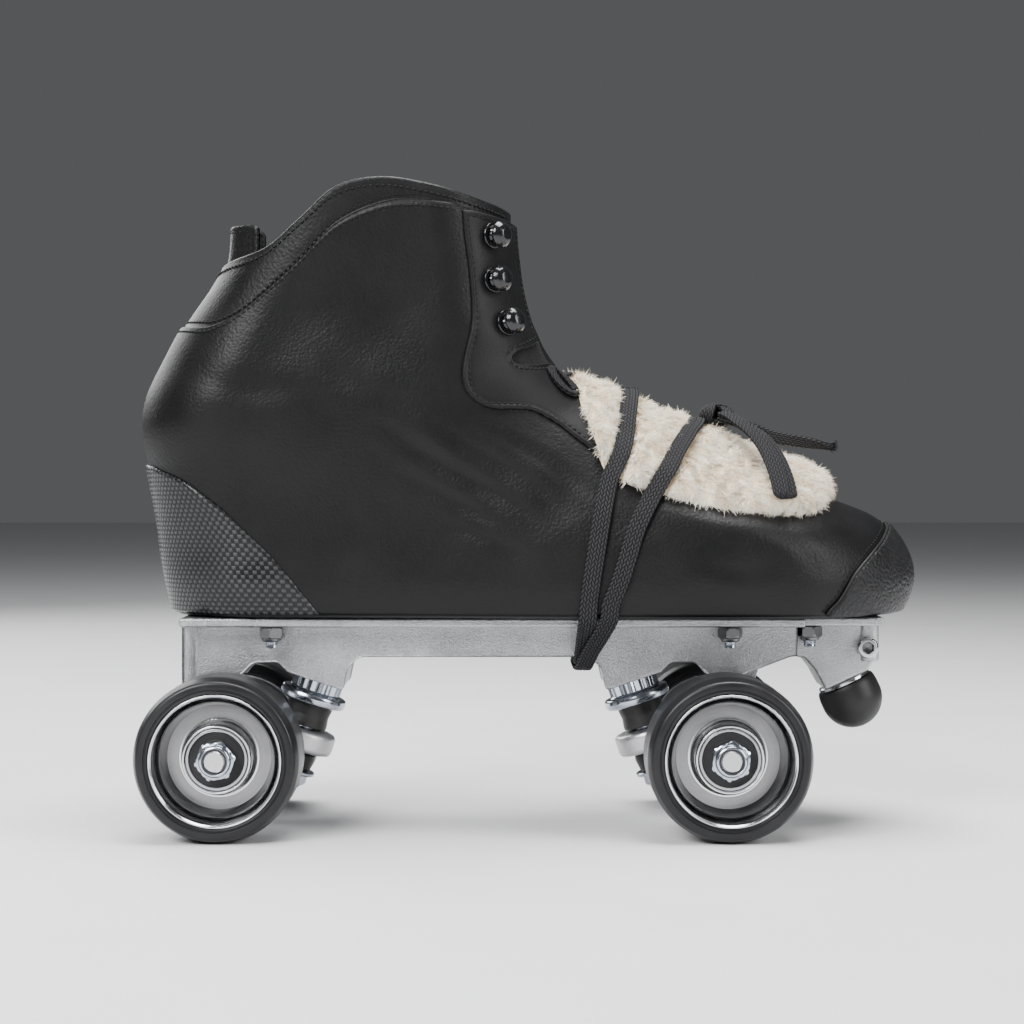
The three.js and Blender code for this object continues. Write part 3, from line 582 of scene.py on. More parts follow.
# the lace's light colour is the painted highlight on the yarn crests
finishes["laceBraid"] = braidMaterial("laceBraid",
                                      {"dark": (0.002, 0.002, 0.0022), "light": (0.032, 0.032, 0.034),
                                                     "columns": 6, "halfWidth": 3.25, "pitch": 1.9})
finishes["stitchThread"] = threadMaterial("stitchThread", (0.003, 0.003, 0.003), (0.012, 0.012, 0.012))
finishes["lining"] = clothMaterial("liningCloth", (0.005, 0.005, 0.0055), (0.012, 0.012, 0.013), 0.9, 0.15)
finishes["footbedFelt"] = clothMaterial("footbedFelt", (0.03, 0.03, 0.032), (0.06, 0.06, 0.062), 0.7, 0.12)
finishes["fleeceSkin"] = fleeceMaterial("fleeceSkin", (0.74, 0.56, 0.37), (0.95, 0.80, 0.60), 0.1)
finishes["fleecePile"] = fleeceMaterial("fleecePile", (0.98, 0.83, 0.62), (1.0, 0.95, 0.83), 0.1)
print("materials are made")


def makeFloor():
    material, tree, shader = newMaterial("paleFloor", (0.72, 0.72, 0.73), 0.65)
    place = partPlace(tree)
    speck = noiseAt(tree, place, 60, 4)
    tree.links.new(colorsBetween(tree, speck, (0.70, 0.70, 0.71), (0.76, 0.76, 0.77)),
                   shader.inputs["Base Color"])
    tree.links.new(ranged(tree, speck, 0.6, 0.72), shader.inputs["Roughness"])
    floor = bpy.data.objects.new("floor", bpy.data.meshes.new("floor"))
    reach = 6.0
    corners = [(-reach, -reach, 0), (reach, -reach, 0), (reach, reach, 0), (-reach, reach, 0)]
    floor.data.from_pydata(corners, [], [(0, 1, 2, 3)])
    floor.data.materials.append(material)
    bpy.context.scene.collection.objects.link(floor)


makeFloor()

# the boot's form: at each height a slice runs from the back line to the front line

backLine = [(78, -131.6), (90, -134.4), (108, -137.2), (130, -141), (145, -143.8), (156, -142.2),
            (167, -137.6), (183, -129), (205, -114.6), (222, -105), (240, -97)]
frontLine = [(78, 136.8), (84, 139.8), (91, 141.3), (100, 139.2), (109, 133), (115, 125), (119.5, 112),
             (127.3, 92), (139.6, 62), (152.6, 33), (166.7, 11), (180.4, 3.6), (189.7, -0.2),
             (200.8, -3.1), (212, -4.6), (225.7, -5.7), (240, -6.5)]
frontRounding = [(80, 44), (95, 46), (108, 60), (116, 90), (130, 100), (150, 90), (165, 55), (180, 38),
                 (200, 32), (240, 32)]
backRounding = 35
footHalfWidth = [(-143, 30), (-110, 33.5), (-60, 35.5), (-20, 38), (20, 43.5), (60, 48), (95, 46),
                 (125, 39), (144, 32)]
shaftHalfWidth = [(100, 35), (130, 37.5), (155, 39), (185, 38), (210, 40), (240, 43)]
middleLine = [(-143, 0), (-60, 0), (0, -1), (60, 1), (110, 4), (144, 7)]
collarLine = [(-120, 202), (-113.5, 204.5), (-95.5, 209), (-82.4, 219.1), (-69.7, 229.4), (-53.8, 233),
              (-36, 230.5), (-18.3, 226.2), (-5.8, 223.3), (0, 221)]
quarterEdge = [(-131, 183.2), (-122, 182), (-114.9, 181.9), (-104.8, 185.9), (-93.7, 194.7),
               (-82.7, 204.5), (-70.2, 216.6), (-57.7, 223), (-46.9, 225.5), (-29.1, 224.8),
               (-24.9, 223.4), (-12, 220.6), (0, 217.6)]


def follow(line, at):
    # a smooth line through (place, value) points
    xs, ys = np.array(line, float).T
    at = np.asarray(at, float)
    last = len(xs) - 1
    i = np.clip(np.searchsorted(xs, at, side="left") - 1, 0, last - 1)
    before, after = np.maximum(np.arange(last + 1) - 1, 0), np.minimum(np.arange(last + 1) + 1, last)
    slope = (ys[after] - ys[before]) / (xs[after] - xs[before])
    width = xs[i + 1] - xs[i]
    t = np.clip((at - xs[i]) / width, 0, 1)
    rise = (1 - t) ** 2 * t * slope[i] * width - (1 - t) * t * t * slope[i + 1] * width
    return ys[i] * (1 + 2 * t) * (1 - t) ** 2 + ys[i + 1] * (3 - 2 * t) * t * t + rise


def roundedSquared(distance, radius):
    return np.where(distance >= radius, 1, 1 - (1 - distance / radius) ** 2)


def halfWidthSquared(x, z):
    shaft = smoothStep(z, 100, 150)
    full = follow(footHalfWidth, x) * (1 - shaft) + follow(shaftHalfWidth, z) * shaft
    tuck = 1 - 0.07 * (np.maximum(92 - z, 0) / 14) ** 2
    back = np.minimum(roundedSquared(x - follow(backLine, z), backRounding), 1)
    front = roundedSquared(follow(frontLine, z) - x, follow(frontRounding, z))
    return (full * tuck) ** 2 * back * front


def bootAtTurn(turn, z):
    # turn 0 is the heel, half a turn is the toe by way of the outer side
    back, front = follow(backLine, z), follow(frontLine, z)
    x = (back + front) / 2 - (front - back) / 2 * np.cos(turn)
    half = np.sqrt(np.maximum(halfWidthSquared(x, z), 0))
    return np.stack([x, follow(middleLine, x) - np.sign(np.sin(turn)) * half, z + 0 * x], axis=-1)


def turnAt(x, z):
    back, front = follow(backLine, z), follow(frontLine, z)
    return np.arccos(np.clip(((back + front) / 2 - x) / ((front - back) / 2), -1, 1))


def bootNormals(points):
    x, y, z = points[..., 0], points[..., 1], points[..., 2]
    step = 0.5

    def level(x, y, z):
        return (y - follow(middleLine, x)) ** 2 - halfWidthSquared(x, z)

    return unit(np.stack([
        level(x + step, y, z) - level(x - step, y, z),
        level(x, y + step, z) - level(x, y - step, z),
        level(x, y, z + step) - level(x, y, z - step),
    ], axis=-1))


def bootTopAt(x, y):
    wanted = (y - follow(middleLine, x)) ** 2
    low, high = np.full_like(x, 92.0), np.full_like(x, 226.0)
    for _ in range(40):
        middle = (low + high) / 2
        wide = halfWidthSquared(x, middle) > wanted
        low, high = np.where(wide, middle, low), np.where(wide, high, middle)
    return np.stack([x, y, low], axis=-1)


# folds of the leather: side-view lines, depth and width, stronger on the outer side
folds = [
    ([(-34, 146), (-22, 139), (-8, 131), (4, 122), (10, 114)], 0.55, 2.6),
    ([(-40, 138), (-28, 131), (-14, 123), (-4, 115), (2, 108)], 0.5, 2.4),
    ([(-44, 129), (-32, 122), (-20, 115), (-10, 108)], 0.4, 2.2),
    ([(-22, 147), (-10, 141), (4, 133), (14, 124), (20, 117)], 0.45, 2.2),
    ([(-30, 112), (-18, 107), (-6, 101), (2, 96)], 0.35, 2.2),
    ([(-60, 150), (-48, 144), (-36, 135), (-30, 128)], 0.4, 3.0),
    ([(-76, 172), (-66, 163), (-54, 156), (-44, 152)], 0.35, 3.6),
    ([(-120, 164), (-106, 160), (-92, 158), (-78, 160)], 0.3, 3.8),
    ([(44, 112), (54, 106), (66, 102), (76, 100)], 0.35, 2.8),
    ([(50, 103), (62, 97), (74, 94), (84, 94)], 0.35, 2.6),
    ([(84, 112), (92, 105), (98, 98), (101, 91)], 0.3, 2.6),
]


def lineDistance(x, z, line):
    # distance to a side-view line, and how far along it
    best, where = np.full(np.shape(x), 1e9), np.zeros(np.shape(x))
    for i, ((x0, z0), (x1, z1)) in enumerate(zip(line, line[1:])):
        t = np.clip(((x - x0) * (x1 - x0) + (z - z0) * (z1 - z0)) / ((x1 - x0) ** 2 + (z1 - z0) ** 2), 0, 1)
        d = np.hypot(x - x0 - t * (x1 - x0), z - z0 - t * (z1 - z0))
        where = np.where(d < best, (i + t) / (len(line) - 1), where)
        best = np.minimum(best, d)
    return best, where


def leatherRelief(points):
    # soft swells, folds at the ankle and ball, and fine wrinkles beside them
    x, y, z = points[..., 0], points[..., 1], points[..., 2]
    swell = 0.22 * np.sin(x / 9 + z / 14 + 0.8) * np.sin(z / 8.2 - x / 21) + 0.12 * np.sin(x / 4.6 - z / 5.3)
    relief = swell * smoothStep(z, 84, 100) * (1 - smoothStep(z, 196, 214))
    strength = np.where(y < 0, 1.0, 0.75)
    for i, (line, depth, width) in enumerate(folds):
        shift = 1.2 * np.sin(z / 5.0 + i)
        distance, along = lineDistance(x + shift, z, line)
        taper = np.sin(np.pi * np.clip(along, 0.04, 0.96)) ** 0.7
        crease = 0.55 * bump(distance - 2 * width, 1.1 * width) - bump(distance, width)
        relief = relief + strength * depth * taper * crease
    return relief


def leatherAt(turn, z, lift=0.0):
    base = bootAtTurn(turn, z)
    return base + bootNormals(base) * (leatherRelief(base) + lift)[..., None]


bootForm = {"bottom": 78.2, "throatFoot": 168, "throatHalf": 9.5, "wall": 3.6, "collarSet": 1.1,
            "levels": (72, 30, 4, 16), "columns": 118, "rimSteps": 7, "liningFloor": 84.6}


def solveHeight(turn, line):
    z = np.full_like(turn, 215.0)
    for _ in range(40):
        z = 0.5 * (z + follow(line, bootAtTurn(turn, z)[..., 0]))
    return z


def throatTurn(z):
    # where each side stops: the toe below the throat, the throat's edge above
    half = bootForm["throatHalf"] * np.sqrt(smoothStep(z, bootForm["throatFoot"], 178))
    turn = np.full_like(z, math.pi)
    low, high = np.full_like(z, math.pi / 2), np.full_like(z, math.pi)
    for _ in range(40):
        middle = (low + high) / 2
        wide = np.abs(bootAtTurn(middle, z)[..., 1] - follow(middleLine,
                                                             bootAtTurn(middle, z)[..., 0])) > half
        low, high = np.where(wide, middle, low), np.where(wide, high, middle)
    return np.where(half > 1e-3, low, turn)


def upperGrid():
    # rows from sole to rim, columns from heel to front, for the outer side
    share = np.linspace(0, 1, bootForm["columns"] + 1)
    first, second, step, collar = bootForm["levels"]
    lift, zone, rows = [], [], []
    turn = share * math.pi
    edge = rim = None
    for _ in range(6):
        edge = solveHeight(turn, quarterEdge)
        rim = solveHeight(turn, collarLine)
        turn = share * throatTurn(rim)
    foot = bootForm["throatFoot"]
    for k in range(first + 1):
        rows.append(np.full_like(share, bootForm["bottom"] + (foot - bootForm["bottom"]) * k / first))
        lift.append(0.0)
        zone.append(0)
    for k in range(1, second + 1):
        rows.append(foot + (edge - foot) * k / second)
        lift.append(-0.35 * max(0, k - second + 1))
        zone.append(0)
    for k in range(1, step + 1):
        rows.append(edge + 0.35 * k / step)
        lift.append(-0.35 - (bootForm["collarSet"] - 0.35) * k / step)
        zone.append(0)
    for k in range(1, collar + 1):
        rows.append(edge + 0.35 + (rim - edge - 0.35) * k / collar)
        lift.append(-bootForm["collarSet"] + 0.5 * max(0, k / collar - 0.6))
        zone.append(1)
    z = np.array(rows)
    turns = share[None, :] * throatTurn(z)
    return turns, z, np.array(lift), np.array(zone)


def makeUpper():
    turns, z, lift, zone = upperGrid()
    rows, columns = z.shape
    outer = leatherAt(turns, z, lift[:, None] + 0 * z)
    base = bootAtTurn(turns, z)
    inner = base - bootNormals(base) * bootForm["wall"]
    low = z < 92
    inner[..., 2] = np.where(low, np.maximum(inner[..., 2], bootForm["liningFloor"]), inner[..., 2])
    inner[-1, :, 2] = z[-1]
    split = bootForm["levels"][0]
    # the edge runs along the rim from the heel, then down the throat
    border = [(rows - 1, j) for j in range(columns)] + [(k, columns - 1) for k in range(rows - 2, split - 1,
                                                                                        -1)]
    rim = np.array([outer[b] for b in border])
    back = np.array([inner[b] for b in border])
    tangent = unit(np.gradient((rim + back) / 2, axis=0))
    through = back - rim
    rise = unit(np.cross(tangent, unit(through)))
    rise *= np.sign((rise * (rim - np.array([-50, 0, 150]))).sum(1, keepdims=True))
    steps = bootForm["rimSteps"]
    angles = np.linspace(0, math.pi, steps + 2)[1:-1]
    thick = np.linalg.norm(through, axis=1, keepdims=True)
    fade = np.minimum(1, np.arange(len(border))[::-1] / 6)[:, None]
    shapes, sets = [], []
    for side in (1, -1):
        mirror = lambda p: mirrored(p) if side < 0 else p
        shapes.append((mirror(outer.reshape(-1, 3)), gridFaces(rows, columns), None))
        sets += [int(zone[k + 1]) for k in range(rows - 1) for _ in range(columns - 1)]
        shapes.append((mirror(inner.reshape(-1, 3)), gridFaces(rows, columns), None))
        sets += [2] * ((rows - 1) * (columns - 1))
        rolls = [rim] + [
            (rim + back) / 2 - through / 2 * math.cos(a) + rise * thick * 0.42 * math.sin(a) * fade
            for a in angles
        ] + [back]
        shapes.append((mirror(np.vstack(rolls)), gridFaces(len(rolls), len(border)), None))
        sets += [1] * ((len(rolls) - 1) * (len(border) - 1))
        shapes.append((mirror(np.vstack([outer[0], inner[0]])), gridFaces(2, columns), None))
        sets += [2] * (columns - 1)
    shape = joinShapes(shapes)
    upper = addPiece("leather_upper", shape,
                     [finishes[n] for n in ("quarterLeather", "collarLeather", "lining")],
                     sharp=0, faceSets=sets, weld=0.01)
    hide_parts("boot_upper", "boot_vamp")
    print("leather upper:", len(upper.data.vertices), "points")
    return upper


def mirrored(points):
    middle = follow(middleLine, points[:, 0])
    return np.stack([points[:, 0], 2 * middle - points[:, 1], points[:, 2]], axis=1)


makeUpper()

# sheets sewn on the boot: an outline in (turn, height), filled with even triangles


def pointsInside(points, outline):
    x, y = points.T
    inside = np.zeros(len(points), bool)
    for (x0, y0), (x1, y1) in zip(outline, np.roll(outline, -1, 0)):
        crosses = (y0 > y) != (y1 > y)
        inside ^= crosses & (x < (x1 - x0) * (y - y0) / (y1 - y0 + 1e-12) + x0)
    return inside


def distancesTo(points, line):
    tree = KDTree(len(line))
    for i, p in enumerate(line):
        tree.insert(tuple(p) if len(p) == 3 else (*p, 0), i)
    tree.balance()
    return np.array([tree.find(tuple(p) if len(p) == 3 else (*p, 0))[2] for p in points])


def closedRow(corners, spacing):
    ring = np.vstack([corners, corners[:1]])
    return evenRow(np.array(ring, float), spacing)[:-1]


def sewnSheet(outline, surfaceAt, thicknessAt, spacing, insets=(0.18, 0.45, 0.85, 1.4), under=-0.15):
    # outline in flat places; surfaceAt gives points and normals for flat places
    outline = closedRow(outline, spacing * 0.7)
    if not leftHanded(outline):
        outline = outline[::-1]
    rows = [outline]
    for depth in insets:
        ring = insetOutline(outline, depth)
        rows.append(ring[distancesTo(ring, outline) > depth * 0.9])
    low, high = outline.min(0), outline.max(0)
    xs = np.arange(low[0], high[0], spacing)
    ys = np.arange(low[1], high[1], spacing * 0.87)
    gx, gy = np.meshgrid(xs, ys)
    gx = gx + (np.arange(len(ys)) % 2)[:, None] * spacing / 2
    inner = np.stack([gx.ravel(), gy.ravel()], axis=1)
    inner = inner[pointsInside(inner, outline)]
    inner = inner[distancesTo(inner, outline) > insets[-1] + spacing * 0.5]
    flat = np.vstack(rows + [inner])
    made = delaunay_2d_cdt([Vector(p) for p in flat], [], [list(range(len(outline)))], 1, 1e-4)
    flat = np.array([tuple(v) for v in made[0]])
    faces = [list(f) for f in made[2]]
    points, normals = surfaceAt(flat)
    edge, _ = surfaceAt(closedRow(outline, spacing * 0.3))
    distance = distancesTo(points, edge)
    top = points + normals * (under + thicknessAt(distance, points))[:, None]
    bottom = points + normals * under
    count = len(points)
    faces = faces + [[i + count for i in reversed(f)] for f in faces]
    return np.vstack([top, bottom]), faces, np.vstack([flat, flat])


def overBoot(scale, lift=0.0):
    # flat places are (turn times scale, height)
    def surfaceAt(flat):
        base = bootAtTurn(flat[:, 0] / scale, flat[:, 1])
        normals = bootNormals(base)
        return base + normals * (leatherRelief(base) + lift)[:, None], normals

    return surfaceAt


def foldedEdge(thick, edge=0.7, roll=0.2, rollAt=0.95, groove=0.16, grooveAt=2.0):
    # leather turned under at its rim, pulled in along its row of stitches
    def thicknessAt(distance, points):
        rise = thick * np.sqrt(np.clip(1 - (1 - np.minimum(distance / edge, 1)) ** 2, 0, 1))
        return rise + roll * bump(distance - rollAt, 0.55) - groove * bump(distance - grooveAt, 0.4)

    return thicknessAt


def stitchRow(line, normals, pitch=2.2, length=1.45, radius=0.3, sink=0.05):
    # one fat short capsule for each stitch along a line of points
    run = np.concatenate([[0], np.cumsum(np.linalg.norm(np.diff(line, axis=0), axis=1))])
    shapes = []
    ringAngles = np.arange(6) * math.pi / 3
    profile = [(-1.0, 0.35), (-0.75, 0.85), (0, 1.0), (0.75, 0.85), (1.0, 0.35)]
    for at in np.arange(pitch / 2, run[-1] - pitch / 3, pitch):
        centre, up = [np.array([np.interp(at, run, v[:, k]) for k in range(3)]) for v in (line, normals)]
        ahead = np.array([np.interp(at + 0.6, run, line[:, k]) for k in range(3)])
        along = unit(ahead - centre)
        up = unit(up - along * (up @ along))
        side = np.cross(along, up)
        rings = []
        for t, r in profile:
            middle = centre + along * t * length / 2 + up * (radius * 0.45 - sink - 0.25 * radius * t * t)
            for a in ringAngles:
                rings.append(middle + radius * r * (side * math.cos(a) + 0.8 * up * math.sin(a)))
        faces = gridFaces(len(profile), 6, True)
        faces += [[0, 1, 2, 3, 4, 5], [24, 25, 26, 27, 28, 29]]
        shapes.append((np.array(rings), faces, None))
    return joinShapes(shapes)


# heel counter of woven carbon, pressed round the heel

counterSet = {"edge": [(78.6, -75.6), (81, -77.6), (87.3, -82.7), (98, -91.6), (110.5, -104.4),
                       (120, -115.4), (127, -126)],
              "peak": 132.5, "thick": 1.15, "scale": 100}


def makeHeelCounter():
    z = np.array([p[0] for p in counterSet["edge"]], float)
    x = np.array([p[1] for p in counterSet["edge"]], float)
    outer = [(turnAt(b, a) * counterSet["scale"], a) for a, b in zip(z, x)]
    outer.append((turnAt(-137.2, 131.6) * counterSet["scale"], 131.6))
    rise = smoothPath([(*p, 0) for p in outer], 1.5)[:, :2]
    bow = [(0.0, counterSet["peak"])]
    outline = np.vstack([rise, bow, rise[::-1] * (-1, 1)])
    shape = sewnSheet(outline, overBoot(counterSet["scale"]),
                      foldedEdge(counterSet["thick"], 0.8, 0.06, 1.2, 0), 1.3)
    counter = addPiece("carbon_heel_counter", shape, finishes["carbon"], sharp=60, weld=0.01)
    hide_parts("heel_counter")


makeHeelCounter()

# toe cap of coarse pebbled leather with a piped edge

capSet = {"edge": [(78.6, 104.6), (81, 106.3), (83.4, 108.9), (92.4, 114.7), (100, 122.6), (106, 129.2),
                   (109.2, 131.6)],
          "thick": 2.0, "scale": 60, "pebble": 1.9, "pebbleRise": 0.06, "piping": 0.75}


def pebbles(points):
    # low rounded lumps of mixed size
    lump = np.zeros(len(points))
    for size, share, turn in ((1.0, 0.5, 0.3), (0.62, 0.32, 1.1), (0.43, 0.18, 2.0)):
        k = 2 * math.pi / (capSet["pebble"] * size)
        a = points[:, 0] * math.cos(turn) + points[:, 1] * math.sin(turn)
        b = -points[:, 0] * math.sin(turn) + points[:, 1] * math.cos(turn)
        c = points[:, 2] + 0.4 * a
        warp = 0.35 * np.sin(a * 1.7 + c * 1.3)
        lump += share * np.sin(a * k * 0.8 + warp) * np.sin(b * k * 0.8 - warp) * np.cos(c * k * 0.7)
    return lump * capSet["pebbleRise"] * 1.6


def capEdgeTurns(scale):
    z = np.array([p[0] for p in capSet["edge"]], float)
    x = np.array([p[1] for p in capSet["edge"]], float)
    row = [(math.pi * scale - (math.pi - turnAt(b, a)) * scale, a) for a, b in zip(z, x)]
    return smoothPath([(*p, 0) for p in row], 1.5)[:, :2]


def makeToeCap():
    scale = capSet["scale"]
    edge = capEdgeTurns(scale)
    middle = math.pi * scale
    bow = [(middle - 5, 109.9), (middle, 110.0), (middle + 5, 109.9)]
    outline = np.vstack([edge, bow, (2 * middle, 0) + edge[::-1] * (-1, 1)])
    profile = foldedEdge(capSet["thick"], 0.5, 0.0, 1.0, 0)

    def thicknessAt(distance, points):
        return profile(distance, points) + pebbles(points) * np.minimum(distance, 1)

    shape = sewnSheet(outline, overBoot(scale), thicknessAt, 0.62, insets=(0.3,))
    cap = addPiece("pebbled_toe_cap", shape, finishes["toeLeather"], sharp=0, weld=0.01)
    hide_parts("toe_cap")
    rim = np.vstack([edge, bow, (2 * middle, 0) + edge[::-1] * (-1, 1)])
    rim = evenRow(rim, 0.8)
    line, normals = overBoot(scale, 0.7)(rim)
    piping = tubeShape(line, capSet["piping"], 10)
    addPiece("toe_cap_piping", piping, finishes["foldLeather"], sharp=0)
    back = unit(np.cross(np.gradient(line, axis=0), normals))
    inner, innerNormals = overBoot(scale, 0.02)(rim)
    behind = inner + back * 2.2 * np.sign((back @ np.array([-1, 0, 0.5])))[:, None]
    stitches = stitchRow(behind, innerNormals, 2.2, 1.45, 0.26)
    addPiece("toe_cap_stitches", stitches, finishes["stitchThread"], sharp=0)


def tubeShape(line, radius, sides=10, ends=True, flat=1.0, upHint=(0, 0, 1)):
    along = unit(np.gradient(line, axis=0))
    up = np.array(upHint, float) + np.zeros_like(line)
    up = unit(up - along * (up * along).sum(1, keepdims=True))
    side = np.cross(along, up)
    radius = np.broadcast_to(radius, len(line))
    angles = np.arange(sides) * 2 * math.pi / sides
    rings = [
        p + r * (np.cos(angles)[:, None] * s + flat * np.sin(angles)[:, None] * u)
        for p, r, s, u in zip(line, radius, side, up)
    ]
    faces = gridFaces(len(line), sides, True)
    if ends:
        faces += [list(range(sides)), [(len(line) - 1) * sides + i for i in range(sides)][::-1]]
    run = np.concatenate([[0], np.cumsum(np.linalg.norm(np.diff(line, axis=0), axis=1))])
    places = np.stack([np.repeat(run, sides), np.tile(angles, len(line))], axis=1)
    return np.vstack(rings), faces, places


makeToeCap()

# eyelet facings with folded edges and a notch, and their speed hooks

facingSet = {"thick": 1.2, "scale": 60, "grooveAt": 2.0}
facingBack = [(-24.6, 222.4), (-24.0, 214.4), (-22.3, 200.9), (-21.3, 187), (-21.9, 179.7), (-23.6, 172.6),
              (-24.7, 166), (-24.5, 161.5), (-22.5, 157.2), (-18.3, 153.7), (-13, 151.9), (-5.9, 151.8),
              (0.1, 151.3), (4.7, 149.2), (10, 146.1), (15.3, 141.8), (20.6, 137.9), (25.5, 133.4)]
facingToe = [(27.6, 133.6), (28.8, 137), (27, 143), (23, 150.4)]
facingFront = [(19.0, 156), (14.2, 161), (10.2, 165.2), (7.6, 168.2)]
notchLow = [(6.4, 168.9), (0, 168.2), (-5.4, 168.5), (-7.2, 170.2)]
notchHigh = [(-5.6, 172.2), (-1, 174.4), (2.2, 176.6)]
facingUpper = [(0.6, 180.4), (-2.2, 190), (-4.3, 201), (-5.6, 211), (-6.2, 219.4)]
facingTop = [(-9, 220.3), (-15, 221.5), (-21, 222.4)]


def facingTurns(points, scale):
    # the front edge is kept clear of the throat
    x, z = np.array(points, float).T
    limit = throatTurn(np.maximum(z, 150)) - 0.01
    return np.stack([np.minimum(turnAt(x, z), limit) * scale, z], axis=1)


def makeFacing(name, side):
    scale = facingSet["scale"]
    back = smoothPath([(*p, 0) for p in facingBack], 1.2)[:, :2]
    rest = [smoothPath([(*p, 0) for p in row], 1.2)[:, :2]
            for row in (facingToe, facingFront, notchLow, notchHigh, facingUpper, facingTop)]
    outline = facingTurns(np.vstack([back] + rest), scale)
    if side > 0:
        outline = outline * (-1, 1)
    thicknessAt = foldedEdge(facingSet["thick"], 0.7, 0.28, 0.9, 0.22, facingSet["grooveAt"])
    shape = sewnSheet(outline, overBoot(scale), thicknessAt, 0.9)
    facing = addPiece(f"{name}_eyelet_facing", shape, finishes["facingLeather"], sharp=0,
                      weld=0.01)
    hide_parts(f"{name}_facing")
    ring = closedRow(outline, 0.35)
    ring = ring if leftHanded(ring) else ring[::-1]
    inside = insetOutline(ring, facingSet["grooveAt"])
    far = distancesTo(inside, ring) > facingSet["grooveAt"] * 0.9
    inside = inside[far]
    line, normals = overBoot(scale, facingSet["thick"] - 0.3)(inside)
    parts = []
    for run in splitRuns(line, 1.6):
        if len(run) > 8:
            parts.append(stitchRow(line[run], normals[run], 2.2, 1.5, 0.42))
    addPiece(f"{name}_facing_stitches", joinShapes(parts), finishes["stitchThread"], sharp=0)
    makeNotchCloth(name, side)


def splitRuns(line, most):
    gaps = np.linalg.norm(np.diff(line, axis=0), axis=1) > most
    return np.split(np.arange(len(line)), np.nonzero(gaps)[0] + 1)


def makeNotchCloth(name, side):
    # dark cloth behind the notch
    scale = facingSet["scale"]
    outline = facingTurns([(7.4, 167.6), (-7.8, 167.4), (-8.4, 170.6), (-4, 175), (2.4, 178)], scale)
    if side > 0:
        outline = outline * (-1, 1)
    shape = sewnSheet(outline, overBoot(scale), foldedEdge(0.4, 0.3, 0, 1, 0), 1.2, insets=(0.3,))
    addPiece(f"{name}_notch_cloth", shape, finishes["lining"], sharp=0, weld=0.01)


makeFacing("outer", -1)
makeFacing("inner", 1)

hookSet = {"places": [(-14.9, 214.0), (-14.3, 198.0), (-9.6, 182.6)], "lift": 1.15}
hookBase = [(0, 0), (4.5, 0), (4.7, 0.25, 0.2), (4.55, 0.75, 0.25), (3.6, 0.95, 0.4), (3.3, 0.7), (0, 0.7)]
hookNeck = [(0, 0.5), (2.6, 0.5), (2.0, 1.3, 0.8), (1.9, 3.0, 0.6), (2.5, 3.9), (0, 3.9)]
hookCap = [(0, 3.5), (3.6, 3.5, 0.4), (4.5, 3.9, 0.3), (4.75, 4.5, 0.35), (4.45, 5.2, 0.5), (3.6, 6.3, 1.6),
           (2.2, 7.1, 1.5), (0, 7.4)]


def makeHooks():
    for name, side in (("outer", -1), ("inner", 1)):
        for i, (x, z) in enumerate(hookSet["places"], 1):
            base = bootAtTurn(np.array([turnAt(x, z) * -side]), np.array([z]))
            normal = bootNormals(base)[0]
            foot = base[0] + normal * (hookSet["lift"] + leatherRelief(base)[0])
            parts = [turnedShape(roundCorners(profile, steps=4), 40) for profile in (hookBase, hookNeck,
                                                                                     hookCap)]
            shape = aimed(joinShapes(parts), foot, normal)
            hook = addPiece(f"{name}_speed_hook_{i}", shape, finishes["hookEnamel"],
                            sharp=50)
            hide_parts(f"{name}_hook_{i}")
    print("facings and hooks are on")


makeHooks()

# seams: the quarter's top edge and the collar's rim

collarStitch = {"below": 1.9, "pitch": 2.2}


def makeCollarSeams():
    turn = np.linspace(0, 1, 500)
    parts = {"quarter": [], "rim": [], "strip": []}
    edge = solveHeight(turn * math.pi * 0.97, quarterEdge)
    rim = solveHeight(turn * math.pi * 0.97, collarLine)
    turns = turn * math.pi * 0.97
    for side in (1, -1):
        keep = bootAtTurn(turns, edge)[:, 0] < -26.5
        rows = [
            ("quarter", edge - collarStitch["below"], keep, 0.0),
            ("rim", rim - 2.2, bootAtTurn(turns, rim)[:, 0] < -9, -0.75),
            ("strip", edge + 2.0, keep & (rim - edge > 5), -bootForm["collarSet"]),
        ]
        for name, z, use, lift in rows:
            flat = np.stack([turns[use] * side, z[use]], axis=1)
            base = bootAtTurn(flat[:, 0], flat[:, 1])
            normals = bootNormals(base)
            line = base + normals * (leatherRelief(base) + lift)[:, None]
            parts[name].append(stitchRow(line, normals, collarStitch["pitch"], 1.5, 0.42))
    for name, shapes in parts.items():
        addPiece(f"{name}_stitches", joinShapes(shapes), finishes["stitchThread"], sharp=0)


makeCollarSeams()

# pull tab: the raised end of the heel lining, folded and sewn

tabSet = {"edge": [(200, -112.4), (205, -111.5), (213, -110.5), (220.5, -110.1)], "low": 197, "high": 220.3,
          "half": 12, "crown": 0.085}


